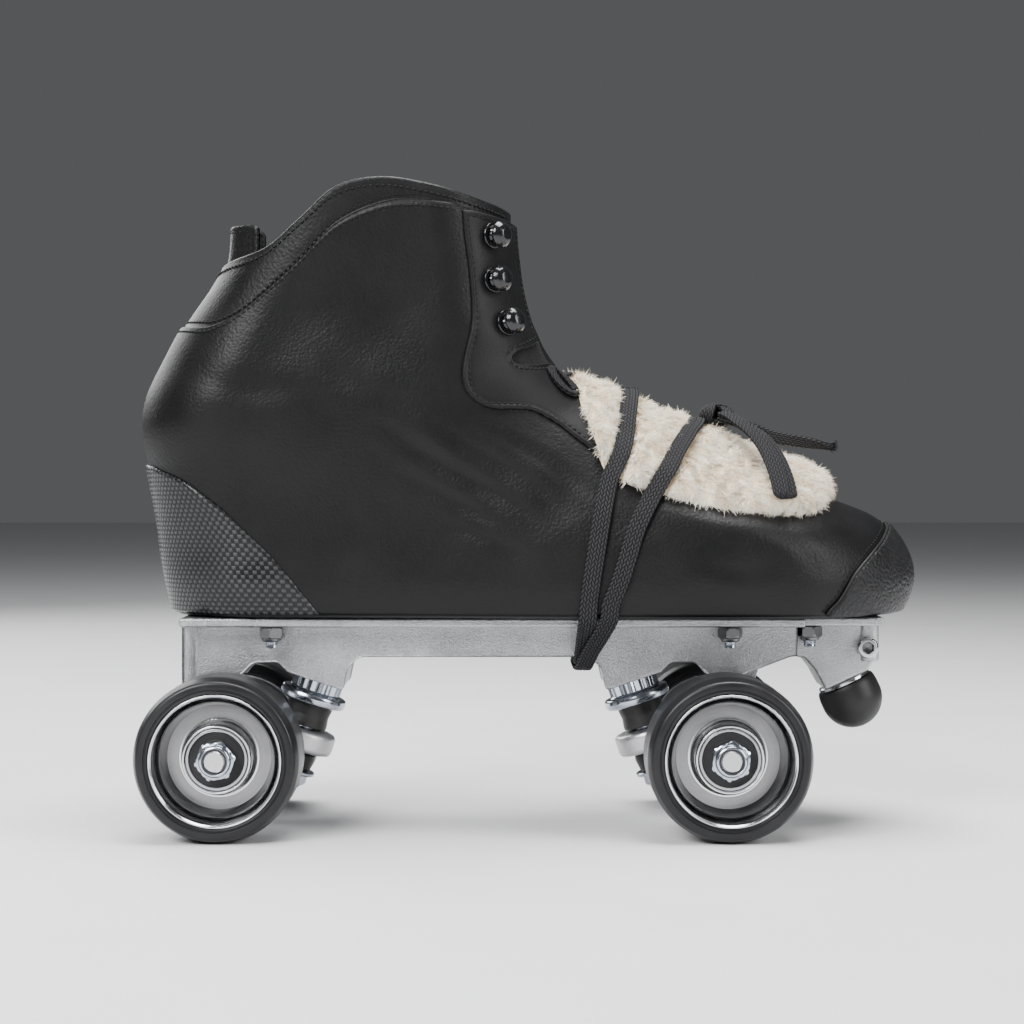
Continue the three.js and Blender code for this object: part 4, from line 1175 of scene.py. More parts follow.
def makePullTab():
    def surfaceAt(flat):
        y, z = flat.T
        x = follow(tabSet["edge"], z) + tabSet["crown"] * y * y
        slope = np.stack([-np.ones(len(y)), 2 * tabSet["crown"] * y, np.zeros(len(y))], axis=1)
        return np.stack([x, y, z], axis=1), unit(slope)

    half, low, high = tabSet["half"], tabSet["low"], tabSet["high"]
    outline = roundCorners([(-half, low), (half, low), (half - 0.8, high, 2.5), (-half + 0.8, high, 2.5)],
                           True)
    profile = foldedEdge(0.9, 0.8, 0.15, 1.0, 0.1, 2.2)
    front = sewnSheet(outline, surfaceAt, profile, 1.0, under=0)
    top, base = np.split(front[0], 2)
    flipped = (np.vstack([2 * base - top, base]), [face[::-1] for face in front[1]], front[2])
    shape = joinShapes([front, flipped])
    tab = addPiece("heel_pull_tab", shape, finishes["collarLeather"], sharp=0)
    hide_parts("pull_tab")
    path = evenRow(np.array([(-half + 2.4, low + 1), (-half + 2.9, high - 2.4), (half - 2.9, high - 2.4),
                             (half - 2.4, low + 1)], float), 0.6)
    line, normals = surfaceAt(path)
    addPiece("pull_tab_stitches", stitchRow(line + normals * 0.85, normals, 2.8, 1.9, 0.26),
             finishes["stitchThread"],
             sharp=0)


makePullTab()

# sole board and footbed

soleSet = {"bottom": 77.3, "top": 80.5, "inset": 2.4}


def makeSole():
    turn = np.arange(160) * 2 * math.pi / 160
    turn = np.where(turn > math.pi, turn - 2 * math.pi, turn)
    rim = bootAtTurn(turn, np.full(160, 81.5))
    outline = (rim - bootNormals(rim) * soleSet["inset"])[:, :2]
    rings = []
    low, high = soleSet["bottom"], soleSet["top"]
    for depth, z in ((1.4, low), (0.45, low + 0.15), (0.0, low + 0.8), (0.0, high - 0.5), (0.5, high)):
        ring = insetOutline(outline if leftHanded(outline) else outline[::-1], depth)
        rings.append(np.column_stack([ring, np.full(len(ring), z)]))
    faces = gridFaces(len(rings), 160, True) + [list(range(160)), [4 * 160 + i for i in range(160)][::-1]]
    sole = addPiece("sole_board", (np.vstack(rings), faces, None), finishes["soleRubber"],
                    sharp=50)
    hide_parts("outsole")
    bed = bootAtTurn(turn, np.full(160, 90.0))
    bed = (bed - bootNormals(bed) * 5)[:, :2]
    bed = bed if leftHanded(bed) else bed[::-1]
    rings = []
    for depth, z in ((0.6, 84.8), (0, 85.4), (0, 87.2), (0.9, 88), (6, 87.4), (14, 87.0)):
        ring = insetOutline(bed, depth)
        rings.append(np.column_stack([ring, np.full(len(ring), z)]))
    faces = gridFaces(len(rings), 160, True) + [list(range(160)), [5 * 160 + i for i in range(160)][::-1]]
    footbed = addPiece("cushioned_footbed", (np.vstack(rings), faces, None), finishes["footbedFelt"])
    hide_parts("footbed")
    print("sole and footbed are in")


makeSole()

# laces: flat braid laid on smooth lines over the boot and under the plate

laceSet = {"halfWidth": 3.25, "halfThick": 0.85, "middle": 102, "step": 0.36, "yarns": 6, "pitch": 1.9,
           "yarnRise": 0.30,
           "sunk": 3.6}
rearWrapRoute = [
    (36.5, 1, 163.4), (36.5, -6, 162.9), (36.3, -13, 161), (35.6, -20, 157.6), (34.6, -27.5, 151.7),
    (33.8, -32.2, 146), (33, -35.4, 141.5), (32, -37.4, 137.5), (30, -38.9, 132.5), (27.4, -41, 126.5),
    (25, -44.6, 115.5), (23.3, -45.9, 105.5), (21.5, -45.9, 94), (20.2, -44.9, 84), (19.9, -44.2, 79.3),
    (19.6, -42.5, 75.8), (19.2, -36, 71.3), (18.9, -29, 66.5), (18.7, -24.9, 63.5), (18.6, -22, 61.3),
    (18.5, -18.5, 60.6), (18.5, 0, 60.6), (18.5, 18.5, 60.6), (18.8, 22, 61.3), (19.4, 24.9, 63.5),
    (20.8, 29.5, 66.8), (23.5, 37, 71.9), (26.5, 43.4, 76.3), (27.5, 44.9, 79.5), (27.9, 45.3, 83),
    (31, 46.6, 91), (33.5, 46.9, 99), (36.5, 46.7, 109), (39.5, 46, 115.5), (43, 44, 122),
    (46.6, 42.2, 128), (48.6, 40.4, 131.5), (50.5, 37.8, 135.5), (52.5, 34.4, 139.2), (55.5, 28.6, 144),
    (58, 21.5, 148.2), (60, 14.5, 150.8), (61, 8, 152.3), (61.6, 2.8, 152.6)]
frontWrapRoute = [
    (61.6, -2.5, 152.8), (61, -8, 152.1), (60, -14, 150.5), (58, -20.5, 148.5), (55.5, -27, 144.6),
    (52.5, -32.8, 139.2), (50.5, -36, 135), (48.6, -39, 131.3), (46.6, -40.8, 128), (43, -42.9, 122),
    (39.5, -45.3, 115.5), (36.5, -46.6, 108.9), (33.5, -47, 99), (31, -46.9, 91), (27.9, -45.6, 83),
    (27.5, -44.7, 79.5), (27, -43.4, 76.6), (24.4, -39.4, 71.4), (21.3, -31.2, 65.2), (19.9, -26.6, 61.6),
    (19, -22.8, 59.2), (18.6, -18.5, 58.4), (18.4, 0, 58.4), (18.6, 18.5, 58.4), (19, 22.8, 59.2),
    (19.2, 26.8, 61.3), (19.2, 31.2, 65.2), (19.1, 38.6, 70.8), (19.5, 42.3, 75.6), (19.9, 43.5, 79.5),
    (20.2, 43.9, 84), (21.5, 44.9, 94), (23.3, 45, 105.5), (25, 44.2, 115.5), (27.4, 40.8, 126.5),
    (30, 38.6, 132.5), (32, 37, 137.5), (33, 35, 141.7), (33.8, 32, 145.8), (34.6, 27.2, 151.4),
    (35.6, 20, 157.4), (36.2, 13, 161), (36.5, 6.5, 163.1), (36.5, 2, 163.8), (36.5, -1.5, 163.9)]
bowLoopRoute = [
    (70.5, -7.5, 150.2), (74.6, -11.5, 148.4), (78.8, -16, 145.8), (82.6, -21, 142.2), (85.8, -26, 137.3),
    (88.0, -31.3, 131.6), (89.4, -35.8, 125.8), (89.9, -38.4, 121.8)]
freeEndRoute = [
    (74.5, -1.5, 149.2), (79, -1.5, 146.8), (84, -1, 144.8), (90, 0, 142.6), (97, 1.5, 141.4),
    (104, 3, 140.4), (112.3, 4.5, 139)]


def laceFrame(line, twist=None):
    # across and out from the boot's middle at each point of a lace
    along = unit(np.gradient(line, axis=0))
    out = line * (0, 1, 1) - (0, 0, laceSet["middle"])
    out = unit(out - along * (out * along).sum(1, keepdims=True))
    across = np.cross(along, out)
    if twist is not None:
        turn = np.asarray(twist)[:, None]
        across, out = across * np.cos(turn) + out * np.sin(turn), out * np.cos(turn) - across * np.sin(turn)
    return along, across, out


def braidShape(line, across, out, halfWidth, halfThick, ends=True, width=None):
    # a flat braid: columns of slanting yarns on both faces
    yarns = laceSet["yarns"]
    share = np.linspace(-1, 1, 3 * yarns + 1)
    a = share * (1.45 - 0.45 * share**2)
    face = np.sqrt(np.clip(1 - np.abs(a) ** 4.5, 0, 1))
    run = np.concatenate([[0], np.cumsum(np.linalg.norm(np.diff(line, axis=0), axis=1))])
    column = np.clip(((a + 1) / 2 * yarns).astype(int), 0, yarns - 1)
    inside = (a + 1) / 2 * yarns - column - 0.5
    lean = np.where(column % 2 == 0, 1, -1)
    phase = run[:, None] / laceSet["pitch"] + (lean * inside * 0.8)[None, :] + 0.5 * (column % 2)
    yarn = np.abs(np.sin(math.pi * phase)) ** 0.7 * (1 - 0.7 * (2 * np.abs(inside)) ** 3)[None, :]
    wide = (np.ones(len(line)) if width is None else width)[:, None]
    rise = halfThick * face[None, :] + laceSet["yarnRise"] * (yarn - 0.6) * face[None, :] ** 0.5
    spread = (halfWidth * a)[None, :] * wide * (1 + 0.02 * np.sin(2 * math.pi * run / laceSet["pitch"]))[:,
                                                                                                         None]
    top = line[:, None] + across[:, None] * spread[..., None] + out[:, None] * rise[..., None]
    low = line[:, None] + across[:, None] * spread[..., None] - out[:, None] * rise[..., None]
    rings = np.concatenate([top, low[:, -2:0:-1]], axis=1)
    count = rings.shape[1]
    faces = gridFaces(len(line), count, True)
    if ends:
        faces += [list(range(count)), [(len(line) - 1) * count + i for i in range(count)][::-1]]
    places = np.stack([np.repeat(run, count),
                       np.tile(np.concatenate([a, a[-2:0:-1]]), len(line)) * laceSet["halfWidth"]], axis=1)
    return rings.reshape(-1, 3), faces, places


def pressedIn(line):
    # over the fleece the laces sink into the pile
    out = laceFrame(line)[2]
    depth = laceSet["sunk"] * smoothStep(line[:, 2], 128, 150)
    return line - out * depth[:, None]


def makeWraps():
    for name, route in (("rear", rearWrapRoute), ("front", frontWrapRoute)):
        line = evenRow(pressedIn(smoothPath(route, 0.8)), laceSet["step"])
        _, across, out = laceFrame(line)
        shape = braidShape(line, across, out, laceSet["halfWidth"], laceSet["halfThick"])
        lace = addPiece(f"{name}_lace", shape, finishes["laceBraid"], sharp=0)
        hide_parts(f"{name}_lace_wrap")


def makeBowLoop():
    # the loop runs out and comes back under itself
    spread = 0.98
    line = smoothPath(bowLoopRoute, laceSet["step"])
    along, across, out = laceFrame(line)
    fan = 1.55 * smoothStep(np.arange(len(line)), 4, 30)[:, None]
    over, under = line + out * spread + across * fan, line - out * spread - across * fan
    turn = np.linspace(-math.pi / 2, math.pi / 2, 9)[1:-1]
    reach = out[-1] * spread + across[-1] * fan[-1]
    fold = [line[-1] - reach * math.sin(a) + along[-1] * 1.3 * math.cos(a) for a in turn]
    path = np.vstack([over, fold, under[::-1]])
    tip = len(fold)
    outs = np.vstack([out, [-out[-1] * math.sin(a) + along[-1] * math.cos(a) for a in turn], -out[::-1]])
    acrosses = np.vstack([across, np.repeat(across[-1:], tip, axis=0), across[::-1]])
    shape = braidShape(path, acrosses, outs, 3.0, laceSet["halfThick"])
    loop = addPiece("folded_bow_loop", shape, finishes["laceBraid"], sharp=0)
    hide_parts("bow_loop")
    length = np.linalg.norm(np.diff(line, axis=0), axis=1).sum() * mm
    return length


def makeFreeEnd():
    line = smoothPath(freeEndRoute, laceSet["step"])
    run = np.linspace(0, 1, len(line))
    along, across, out = laceFrame(line, twist=1.25 * np.sin(math.pi * np.clip(run * 1.1, 0, 1)) + 0.35)
    width = 1 - 0.22 * smoothStep(run, 0.9, 1.0)
    shape = braidShape(line, across, out, 2.35, 0.95, width=width)
    rng = random.Random(11)
    frays = []
    for _ in range(46):
        sideways = rng.uniform(-1.6, 1.6)
        start = line[-1] + across[-1] * sideways + out[-1] * rng.uniform(-0.5, 0.5) - along[-1] * 0.5
        aim = unit(along[-1] + across[-1] * (sideways * 0.35 + rng.uniform(-0.4, 0.4))
                   + out[-1] * rng.uniform(-0.6, 0.7))
        bend = unit(np.array([rng.uniform(-1, 1), rng.uniform(-1, 1), rng.uniform(-1, 0.6)]))
        reach = rng.uniform(1.6, 3.4)
        t = np.linspace(0, 1, 5)[:, None]
        frays.append(tubeShape(start + aim * reach * t + bend * 0.7 * t * t,
                               np.array([0.16, 0.15, 0.13, 0.1, 0.03]), 5))
    frayed = addPiece("frayed_lace_tip", joinShapes(frays), finishes["laceBraid"], sharp=0)
    free = addPiece("lace_tail", shape, finishes["laceBraid"], sharp=0)
    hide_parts("lace_free_end")
    length = np.linalg.norm(np.diff(line, axis=0), axis=1).sum() * mm
    return length


makeWraps()
print("laces are wound; loop and tail lengths in mm:", round(makeBowLoop() * 1000, 1),
      round(makeFreeEnd() * 1000, 1))


# knot: turns of the braid round the crossing

knotSet = {"place": (69.0, -1.5, 150.6)}


def makeKnot():
    centre = np.array(knotSet["place"])
    shapes = []
    turns = [
        # radii along x and z, tilt about z, shift, phase
        (5.6, 3.3, 0.25, (0, 0, 0), 0.0),
        (4.4, 3.6, 1.25, (-1.5, -0.6, -0.3), 0.8),
        (5.0, 3.0, -0.75, (1.6, 0.5, -0.5), 1.7),
    ]
    for rx, rz, tilt, shift, phase in turns:
        angle = np.linspace(0, 2 * math.pi, 64)
        x, z = rx * np.cos(angle + phase), rz * np.sin(angle + phase)
        y = 1.3 * np.sin(angle) + 0.8 * np.cos(2 * angle)
        line = np.stack([x * math.cos(tilt) - y * math.sin(tilt), x * math.sin(tilt) + y * math.cos(tilt),
                         z], axis=1)
        line = evenRow(line + centre + shift, laceSet["step"])
        along = unit(np.gradient(line, axis=0))
        out = unit(line - centre - shift)
        out = unit(out - along * (out * along).sum(1, keepdims=True))
        shapes.append(braidShape(line, np.cross(along, out), out, 2.3, 0.85))
    addPiece("lace_knot", joinShapes(shapes), finishes["laceBraid"], sharp=0)
    # the crossing at the foot of the throat, at the fleece's upper end
    route = [(1, -21, 160.5), (5, -18.5, 162.6), (9.5, -13.5, 164.4), (13, -8, 165.4), (14.5, 0, 165.6),
             (13, 8, 165.4), (9.5, 13.5, 164.4), (5, 18.5, 162.6), (1, 21, 160.5)]
    line = smoothPath(route, laceSet["step"])
    _, across, out = laceFrame(line)
    crossing = braidShape(line, across, out, 2.6, 0.9)
    addPiece("lower_lace_crossing", crossing, finishes["laceBraid"], sharp=0)
    # a bight of the lace shows beside the throat
    angle = np.linspace(0.3, 2 * math.pi + 0.1, 60)
    base = bootTopAt(10.6 + 4.8 * np.cos(angle), -19.5 + 2.6 * np.sin(angle))
    line = evenRow(base + bootNormals(base) * (1.5 + 0.9 * np.sin(angle / 2))[:, None], laceSet["step"])
    _, across, out = laceFrame(line)
    bight = braidShape(line, across, out, 1.5, 0.9)
    addPiece("throat_lace_bight", bight, finishes["laceBraid"], sharp=0)
    print("knot is tied")


makeKnot()

# sheepskin tongue, turned forward over the vamp

fleeceSet = {
    "outline": [(13.5, -7), (15.6, -15), (17.5, -22), (20.5, -27.5), (25.4, -36.5), (30, -37.8),
                (35, -38.8), (42, -39),
                (52.7, -40.1), (66.9, -40), (80, -38), (93, -33), (101.5, -26), (106.8, -16), (109, -4),
                (108, 9), (103, 22), (96, 33), (82, 41), (66, 43), (50, 42.5), (38, 40.5), (27, 37.5),
                (20.5, 28), (16.5, 17), (14, 6)],
    "crown": [(12, 1.4), (18, 2.8), (26, 4.2), (34, 4.6), (44, 5.8), (59, 5.6), (76, 6.8), (92, 8.0),
              (102, 7.4), (112, 5)],
    "spacing": 1.35, "pile": 3.7, "strands": 70000, "lock": 2.4,
}


def laceLines():
    # where the laces press on the fleece
    lines = [pressedIn(smoothPath(route, 1.5)) for route in (rearWrapRoute, frontWrapRoute)]
    loop = smoothPath(bowLoopRoute, 1.5)
    return [line[line[:, 2] > 118] for line in lines] + [loop]


def fleeceSurface(flat):
    base = bootTopAt(flat[:, 0], flat[:, 1])
    return base, bootNormals(base)


def fleeceHeight(points, distance):
    x, y = points[:, 0], points[:, 1]
    sideways = (y - follow(middleLine, x)) / 42
    full = follow(fleeceSet["crown"], x) * (1 - 0.45 * np.clip(sideways, -1, 1) ** 2)
    tufts = 0.7 * np.sin(x / 2.3 + 1.2 * np.sin(y / 3.1)) * np.sin(y / 2.7 + x / 5.1)
    tufts += 0.45 * np.sin(x / 1.3 - y / 2.1 + 2 * np.sin(x / 4.4)) * np.sin(y / 1.5 + x / 3.3)
    gather = 0.7 * np.sin(x / 7.5 + y / 11)
    rim = np.sqrt(np.clip(1 - (1 - np.minimum(distance / 5.5, 1)) ** 2, 0, 1))
    return np.maximum((full + gather + 0.22 * tufts) * rim, 0)


def makeFleece():
    lines = laceLines()
    outline = smoothPath([(*p, 0) for p in fleeceSet["outline"] + fleeceSet["outline"][:1]], 1.0)[:-1, :2]

    def thicknessAt(distance, points):
        # the pile stops under each lace and swells beside it
        normals = bootNormals(points)
        height = fleeceHeight(points, distance)
        for i, line in enumerate(lines):
            reach = distancesTo(points + normals * height[:, None] * 0.6, line)
            nearest = np.maximum(reach - 2.4, 0)
            press = np.exp(-((nearest / 2.2) ** 2)) * (2.6 if i < 2 else 1.8)
            height = height - press * np.minimum(height / 4, 1) + 0.8 * bump(reach - 8, 3.2)
        return np.maximum(height, 0.4 * np.minimum(distance, 1))

    shape = sewnSheet(outline, fleeceSurface, thicknessAt, fleeceSet["spacing"], insets=(0.5, 1.3, 2.4),
                      under=0.2)
    fleece = addPiece("sheepskin_tongue", shape, finishes["fleeceSkin"], sharp=0, weld=0.01)
    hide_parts("tongue")
    half = len(shape[0]) // 2
    makePile(shape[0][:half], [f for f in shape[1] if max(f) < half], lines)


def makePile(points, faces, lines):
    # tapered hairs combed down towards the edge, in small locks
    rng = np.random.default_rng(5)
    corners = points[np.array(faces)]
    normals = np.cross(corners[:, 1] - corners[:, 0], corners[:, 2] - corners[:, 0])
    areas = np.linalg.norm(normals, axis=1)
    normals = unit(normals) * np.sign(normals[:, 2:3] + 1e-6)
    count = fleeceSet["strands"]
    pick = rng.choice(len(faces), count, p=areas / areas.sum())
    a, b = rng.random((2, count, 1))
    flip = a + b > 1
    a, b = np.where(flip, 1 - a, a), np.where(flip, 1 - b, b)
    roots = corners[pick, 0] * (1 - a - b) + corners[pick, 1] * a + corners[pick, 2] * b
    normal = normals[pick]
    lock = np.floor(roots / fleeceSet["lock"])
    seed = np.sin(lock @ np.array([12.9, 78.2, 37.7])) * 43758.5
    lean = np.stack([np.sin(seed), np.sin(seed * 1.7), 0.3 * np.sin(seed * 2.3)], axis=1)
    down = np.stack([0.15 * np.ones(count), np.sign(roots[:, 1]) * 0.35, -0.75 * np.ones(count)], axis=1)
    down = unit(down - normal * (down * normal).sum(1, keepdims=True))
    comb = unit(normal * 0.36 + down * 0.62 + lean * 0.24 + rng.normal(0, 0.14, (count, 3)))
    reach = distancesTo(roots, np.vstack(lines))
    length = fleeceSet["pile"] * rng.uniform(0.55, 1.1, count) * (0.28 + 0.72 * smoothStep(reach, 2.2, 5.5))
    curl = unit(lean + rng.normal(0, 0.5, (count, 3)))
    bounds = np.quantile(roots[:, 1], np.linspace(0, 1, 6))
    for i, part in enumerate(("near", "outer", "middle", "inner", "far")):
        chosen = (roots[:, 1] >= bounds[i]) & (roots[:, 1] <= bounds[i + 1])
        shape = strandShapes(roots[chosen], comb[chosen], curl[chosen], normal[chosen], length[chosen])
        addPiece(f"sheepskin_pile_{part}", shape, finishes["fleecePile"], sharp=0)
    print("fleece has", count, "hairs")


def strandShapes(roots, comb, curl, normal, length):
    count = len(roots)
    levels = np.array([0, 0.55, 1.0])
    width = np.array([0.12, 0.09, 0.02])
    side = unit(np.cross(comb, curl + normal * 0.3))
    other = np.cross(comb, side)
    points = np.zeros((count, len(levels), 3, 3))
    for i, (t, w) in enumerate(zip(levels, width)):
        middle = roots - normal * 0.4 + comb * (length * t)[:, None] + curl * (length * 0.32 * t * t)[:, None]
        for j in range(3):
            a = j * 2 * math.pi / 3
            points[:, i, j] = middle + w * (side * math.cos(a) + other * math.sin(a))
    per = len(levels) * 3
    pattern = [[i * 3 + j, i * 3 + (j + 1) % 3, i * 3 + 3 + (j + 1) % 3, i * 3 + 3 + j]
               for i in range(len(levels) - 1) for j in range(3)]
    pattern += [[2, 1, 0]]
    faces = [[k * per + i for i in face] for k in range(count) for face in pattern]
    return points.reshape(-1, 3), faces, None


makeFleece()

# wheels: each in its own frame, with Y pointing out of the skate

wheelSet = {"radius": 29, "middle": 42, "rearX": -110.1, "frontX": 69.1, "segments": 120}
tyreProfile = [(23.3, -14.2), (23.5, -15.2, 0.4), (24.3, -15.4, 0.2), (24.5, -15.1, 0.15), (24.8, -15.4, 0.2),
               (27.6, -15.3, 2.2), (29, -11.2, 4.2), (29, 11.2, 4.2), (27.5, 15.7, 2.0), (25.0, 15.75, 0.2),
               (24.75, 15.35, 0.12), (24.45, 15.35, 0.12), (24.2, 15.8, 0.2), (23.5, 15.6, 0.3), (23.3, 14.2)]
rimProfile = [(23.32, -14.4), (23.32, 15.4), (23.1, 16.0, 0.3), (22.7, 16.0, 0.25), (22.15, 15.4)]
slopeProfile = [(22.2, 15.45), (20.6, 12.6, 0.4), (20.0, 10.6, 1.5), (18.9, 4.0, 3.0), (18.4, 1.3, 0.6),
                (18.2, 1.25)]
webProfile = [(18.5, 0.9), (18.4, 1.3, 0.1), (14.0, 1.3)]
bossProfile = [(14.1, 1.3), (13.3, 1.35, 0.9), (12.45, 2.6, 0.8), (12.25, 9.6, 0.3), (11.95, 10.5, 0.35),
               (11.4, 10.5, 0.2),
               (11.05, 10.2), (11.05, 2.8), (5.0, 2.8)]
backProfile = [(5.0, -6.4), (11.05, -6.4), (11.05, -13.3), (11.5, -13.6, 0.2), (12.1, -13.5, 0.4),
               (12.4, -4.2, 1.0),
               (16.8, -3.2, 0.8), (18.4, -6.0, 2.0), (22.2, -14.3, 0.4), (23.0, -14.7, 0.2), (23.32, -14.4)]
raceProfile = [(9.65, 9.2), (9.7, 9.85, 0.15), (9.95, 10.0, 0.1), (10.7, 10.0, 0.3), (11.0, 9.65, 0.2),
               (11.0, 3.3, 0.3),
               (10.7, 3.0, 0.2), (9.7, 3.0), (9.6, 3.8)]
innerRaceProfile = [(4.05, 3.2), (4.05, 9.75, 0.2), (4.3, 10.0, 0.2), (5.5, 10.0, 0.2), (5.75, 9.7, 0.15),
                    (5.75, 3.2),
                    (4.05, 3.2)]
sealProfile = [(5.7, 9.3), (5.95, 9.55, 0.1), (6.6, 9.6, 0.2), (7.0, 9.45, 0.2), (8.6, 9.45, 0.2),
               (9.0, 9.6, 0.2),
               (9.45, 9.55, 0.1), (9.7, 9.3)]


def turnedPart(profile, segments=None, closed=False, steps=4):
    return turnedShape(roundCorners(profile, steps=steps), segments or wheelSet["segments"], closed)


def wheelFrame(end, side):
    out = 1 if side == "inner" else -1
    x = wheelSet["rearX"] if end == "rear" else wheelSet["frontX"]
    return np.diag([out, out, 1]), (x, out * wheelSet["middle"], wheelSet["radius"])


def bearingShapes(shift=0.0, flip=1):
    # races in steel, seal in rubber
    def at(shape):
        return (shape[0] * (1, flip, 1) + (0, shift, 0),) + tuple(shape[1:])

    race = at(joinShapes([turnedPart(raceProfile, 96), turnedPart(innerRaceProfile, 72)]))
    return race, at(turnedPart(sealProfile, 96))


def makeWheel(end, side):
    frameOf = wheelFrame(end, side)
    body = f"{end}_{side}_wheel"
    tyre = addPiece(f"{end}_{side}_polyurethane", moved(turnedPart(tyreProfile, closed=True), frameOf),
                    finishes["urethane"], body, 34)
    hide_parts(f"{end}_{side}_tyre")
    rim = addPiece(f"{end}_{side}_hub_rim",
                   moved(joinShapes([turnedPart(rimProfile), turnedPart(backProfile)]), frameOf),
                   finishes["turnedAluminium"], body, 30)
    # the web takes the darker aluminium copy as painted shade
    addPiece(f"{end}_{side}_hub_web", moved(turnedPart(webProfile), frameOf), finishes["satinAluminiumPaintedShade"],
                   body, 30)
    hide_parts(f"{end}_{side}_hub")
    # the slope takes the darkest aluminium copy as a painted dark reflection
    for label, profile, finish in (("slope", slopeProfile, "polishedSlopePaintedReflection"),
                                   ("boss", bossProfile, "turnedAluminium")):
        addPiece(f"{end}_{side}_hub_{label}", moved(turnedPart(profile), frameOf), finishes[finish], body,
                 30)
    for label, shift, flip in (("outer_bearing", 0.0, 1), ("inner_bearing", -3.4, -1)):
        race, seal = bearingShapes(shift, flip)
        races = addPiece(f"{end}_{side}_{label}", moved(race, frameOf), finishes["bearingSteel"], body,
                         30)
        addPiece(f"{end}_{side}_{label}_seal", moved(seal, frameOf), finishes["sealRubber"], body,
                 30)
        if shift == 0.0:
            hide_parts(f"{end}_{side}_bearing")


nutCollar = [(5.9, 14.0), (5.85, 14.9, 0.4), (5.3, 16.3, 0.9), (4.55, 16.6, 0.2), (4.45, 16.2), (4.45, 14.0)]
nylonRing = [(4.5, 15.0), (4.5, 16.15, 0.15), (3.95, 16.15, 0.1), (3.92, 15.0)]
speedWasher = [(4.0, 10.02), (5.3, 10.02), (5.3, 10.4, 0.1), (4.0, 10.4)]


def makeAxleNut(end, side):
    frameOf = wheelFrame(end, side)
    turn = 0.35 if (end, side) in (("rear", "outer"), ("front", "inner")) else 0.1
    spin = np.array([[math.cos(turn), 0, -math.sin(turn)], [0, 1, 0], [math.sin(turn), 0, math.cos(turn)]])
    hexPart = moved(hexShape(12.9, 10.4, 15.0, 4.1), (spin, (0, 0, 0)))
    steel = joinShapes([hexPart, turnedPart(nutCollar, 72), turnedPart(speedWasher, 72, True)])
    nut = addPiece(f"{end}_{side}_locknut", moved(steel, frameOf), finishes["zincPlate"], f"{end}_truck",
                   34)
    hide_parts(f"{end}_{side}_axle_nut")
    addPiece(f"{end}_{side}_locknut_ring", moved(turnedPart(nylonRing, 48), frameOf), finishes["nylon"],
             f"{end}_truck", 34)


for end in ("rear", "front"):
    for side in ("outer", "inner"):
        makeWheel(end, side)
        makeAxleNut(end, side)
print("wheels are on")

# trucks: x runs out from the axle to the near end of the skate

truckSet = {"seat": (-32, 0, 53.65), "tilt": 18.5, "eyeDepth": 23.4, "pivotTip": (6, 0, 54), "voxel": 0.75}
kingpinAxis = np.array([math.sin(math.radians(truckSet["tilt"])), 0,
                        -math.cos(math.radians(truckSet["tilt"]))])
kingpinSeat = np.array(truckSet["seat"])
eyeCentre = kingpinSeat + kingpinAxis * truckSet["eyeDepth"]
pivotTip = np.array(truckSet["pivotTip"], float)
steerAxis = unit(pivotTip - eyeCentre)


def truckFrame(end):
    out = -1 if end == "rear" else 1
    return np.diag([out, out, 1]), (wheelSet["rearX"] if end == "rear" else wheelSet["frontX"], 0, 0)


def onKingpin(shape, end):
    return moved(aimed(shape, kingpinSeat, kingpinAxis), truckFrame(end))


def threadedRod(radius, low, high, pitch=0.8, depth=0.28, tip=0.6, segments=36):
    # ridges stand for the thread
    profile = [(0, low), (radius - depth, low)]
    for y in np.arange(low + pitch / 2, high - tip - pitch / 2, pitch):
        profile += [(radius - depth, y - pitch * 0.35), (radius, y - pitch * 0.08),
                    (radius, y + pitch * 0.08),
                    (radius - depth, y + pitch * 0.35)]
    profile += [(radius - depth * 0.6, high - tip), (radius - depth - tip * 0.6, high), (0, high)]
    return turnedShape(profile, segments)


def flutedShape(profile, flutes, depth, flutedBelow, segments=192):
    points, faces, places = turnedPart(profile, segments)
    angle = np.arctan2(points[:, 2], points[:, 0])
    radius = np.hypot(points[:, 0], points[:, 2])
    cut = depth * np.abs(np.sin(angle * flutes / 2)) ** 1.5 * (points[:, 1] < flutedBelow) * (radius > 7)
    scale = np.where(radius > 0, 1 - cut / np.maximum(radius, 1), 1)
    return points * np.stack([scale, np.ones(len(points)), scale], axis=1), faces, places


cupProfile = [(4.3, 0.3), (9.0, 0.3, 0.3), (9.5, 0.9, 0.3), (9.4, 5.0, 0.4), (10.2, 5.5, 0.5),
              (12.1, 5.7, 1.2), (12.5, 7.5, 1.2),
              (12.1, 9.3, 1.2), (11.0, 9.7, 0.4), (8.6, 9.6), (8.5, 8.9), (4.3, 8.9), (4.3, 0.3)]
upperCushionProfile = [(4.3, 9.1), (8.3, 9.1, 0.3), (8.35, 11.0, 2.0), (7.9, 14.0, 2.0), (8.35, 17.0, 2.0),
                       (8.3, 18.3, 0.3),
                       (4.3, 18.3), (4.3, 9.1)]
lowerCushionProfile = [(4.3, 28.5), (7.8, 28.5, 0.4), (8.1, 30.0, 1.5), (7.4, 34.2, 0.6), (4.3, 34.4),
                       (4.3, 28.5)]
washerProfile = [(4.2, 34.7), (9.2, 34.7, 0.2), (9.5, 35.0, 0.2), (9.5, 35.7, 0.3), (9.1, 36.2, 0.3),
                 (4.2, 36.2), (4.2, 34.7)]
kingNutCollar = [(5.9, 39.5), (5.85, 40.4, 0.3), (5.3, 41.5, 0.7), (4.6, 41.6, 0.1), (4.5, 41.3), (4.5, 39.5)]
eyeProfile = [(5.7, 19.4), (12.0, 19.4, 0.2), (13.0, 20.4, 1.0), (13.0, 26.4, 1.0), (12.0, 27.4, 0.2),
              (5.7, 27.4), (5.7, 19.4)]


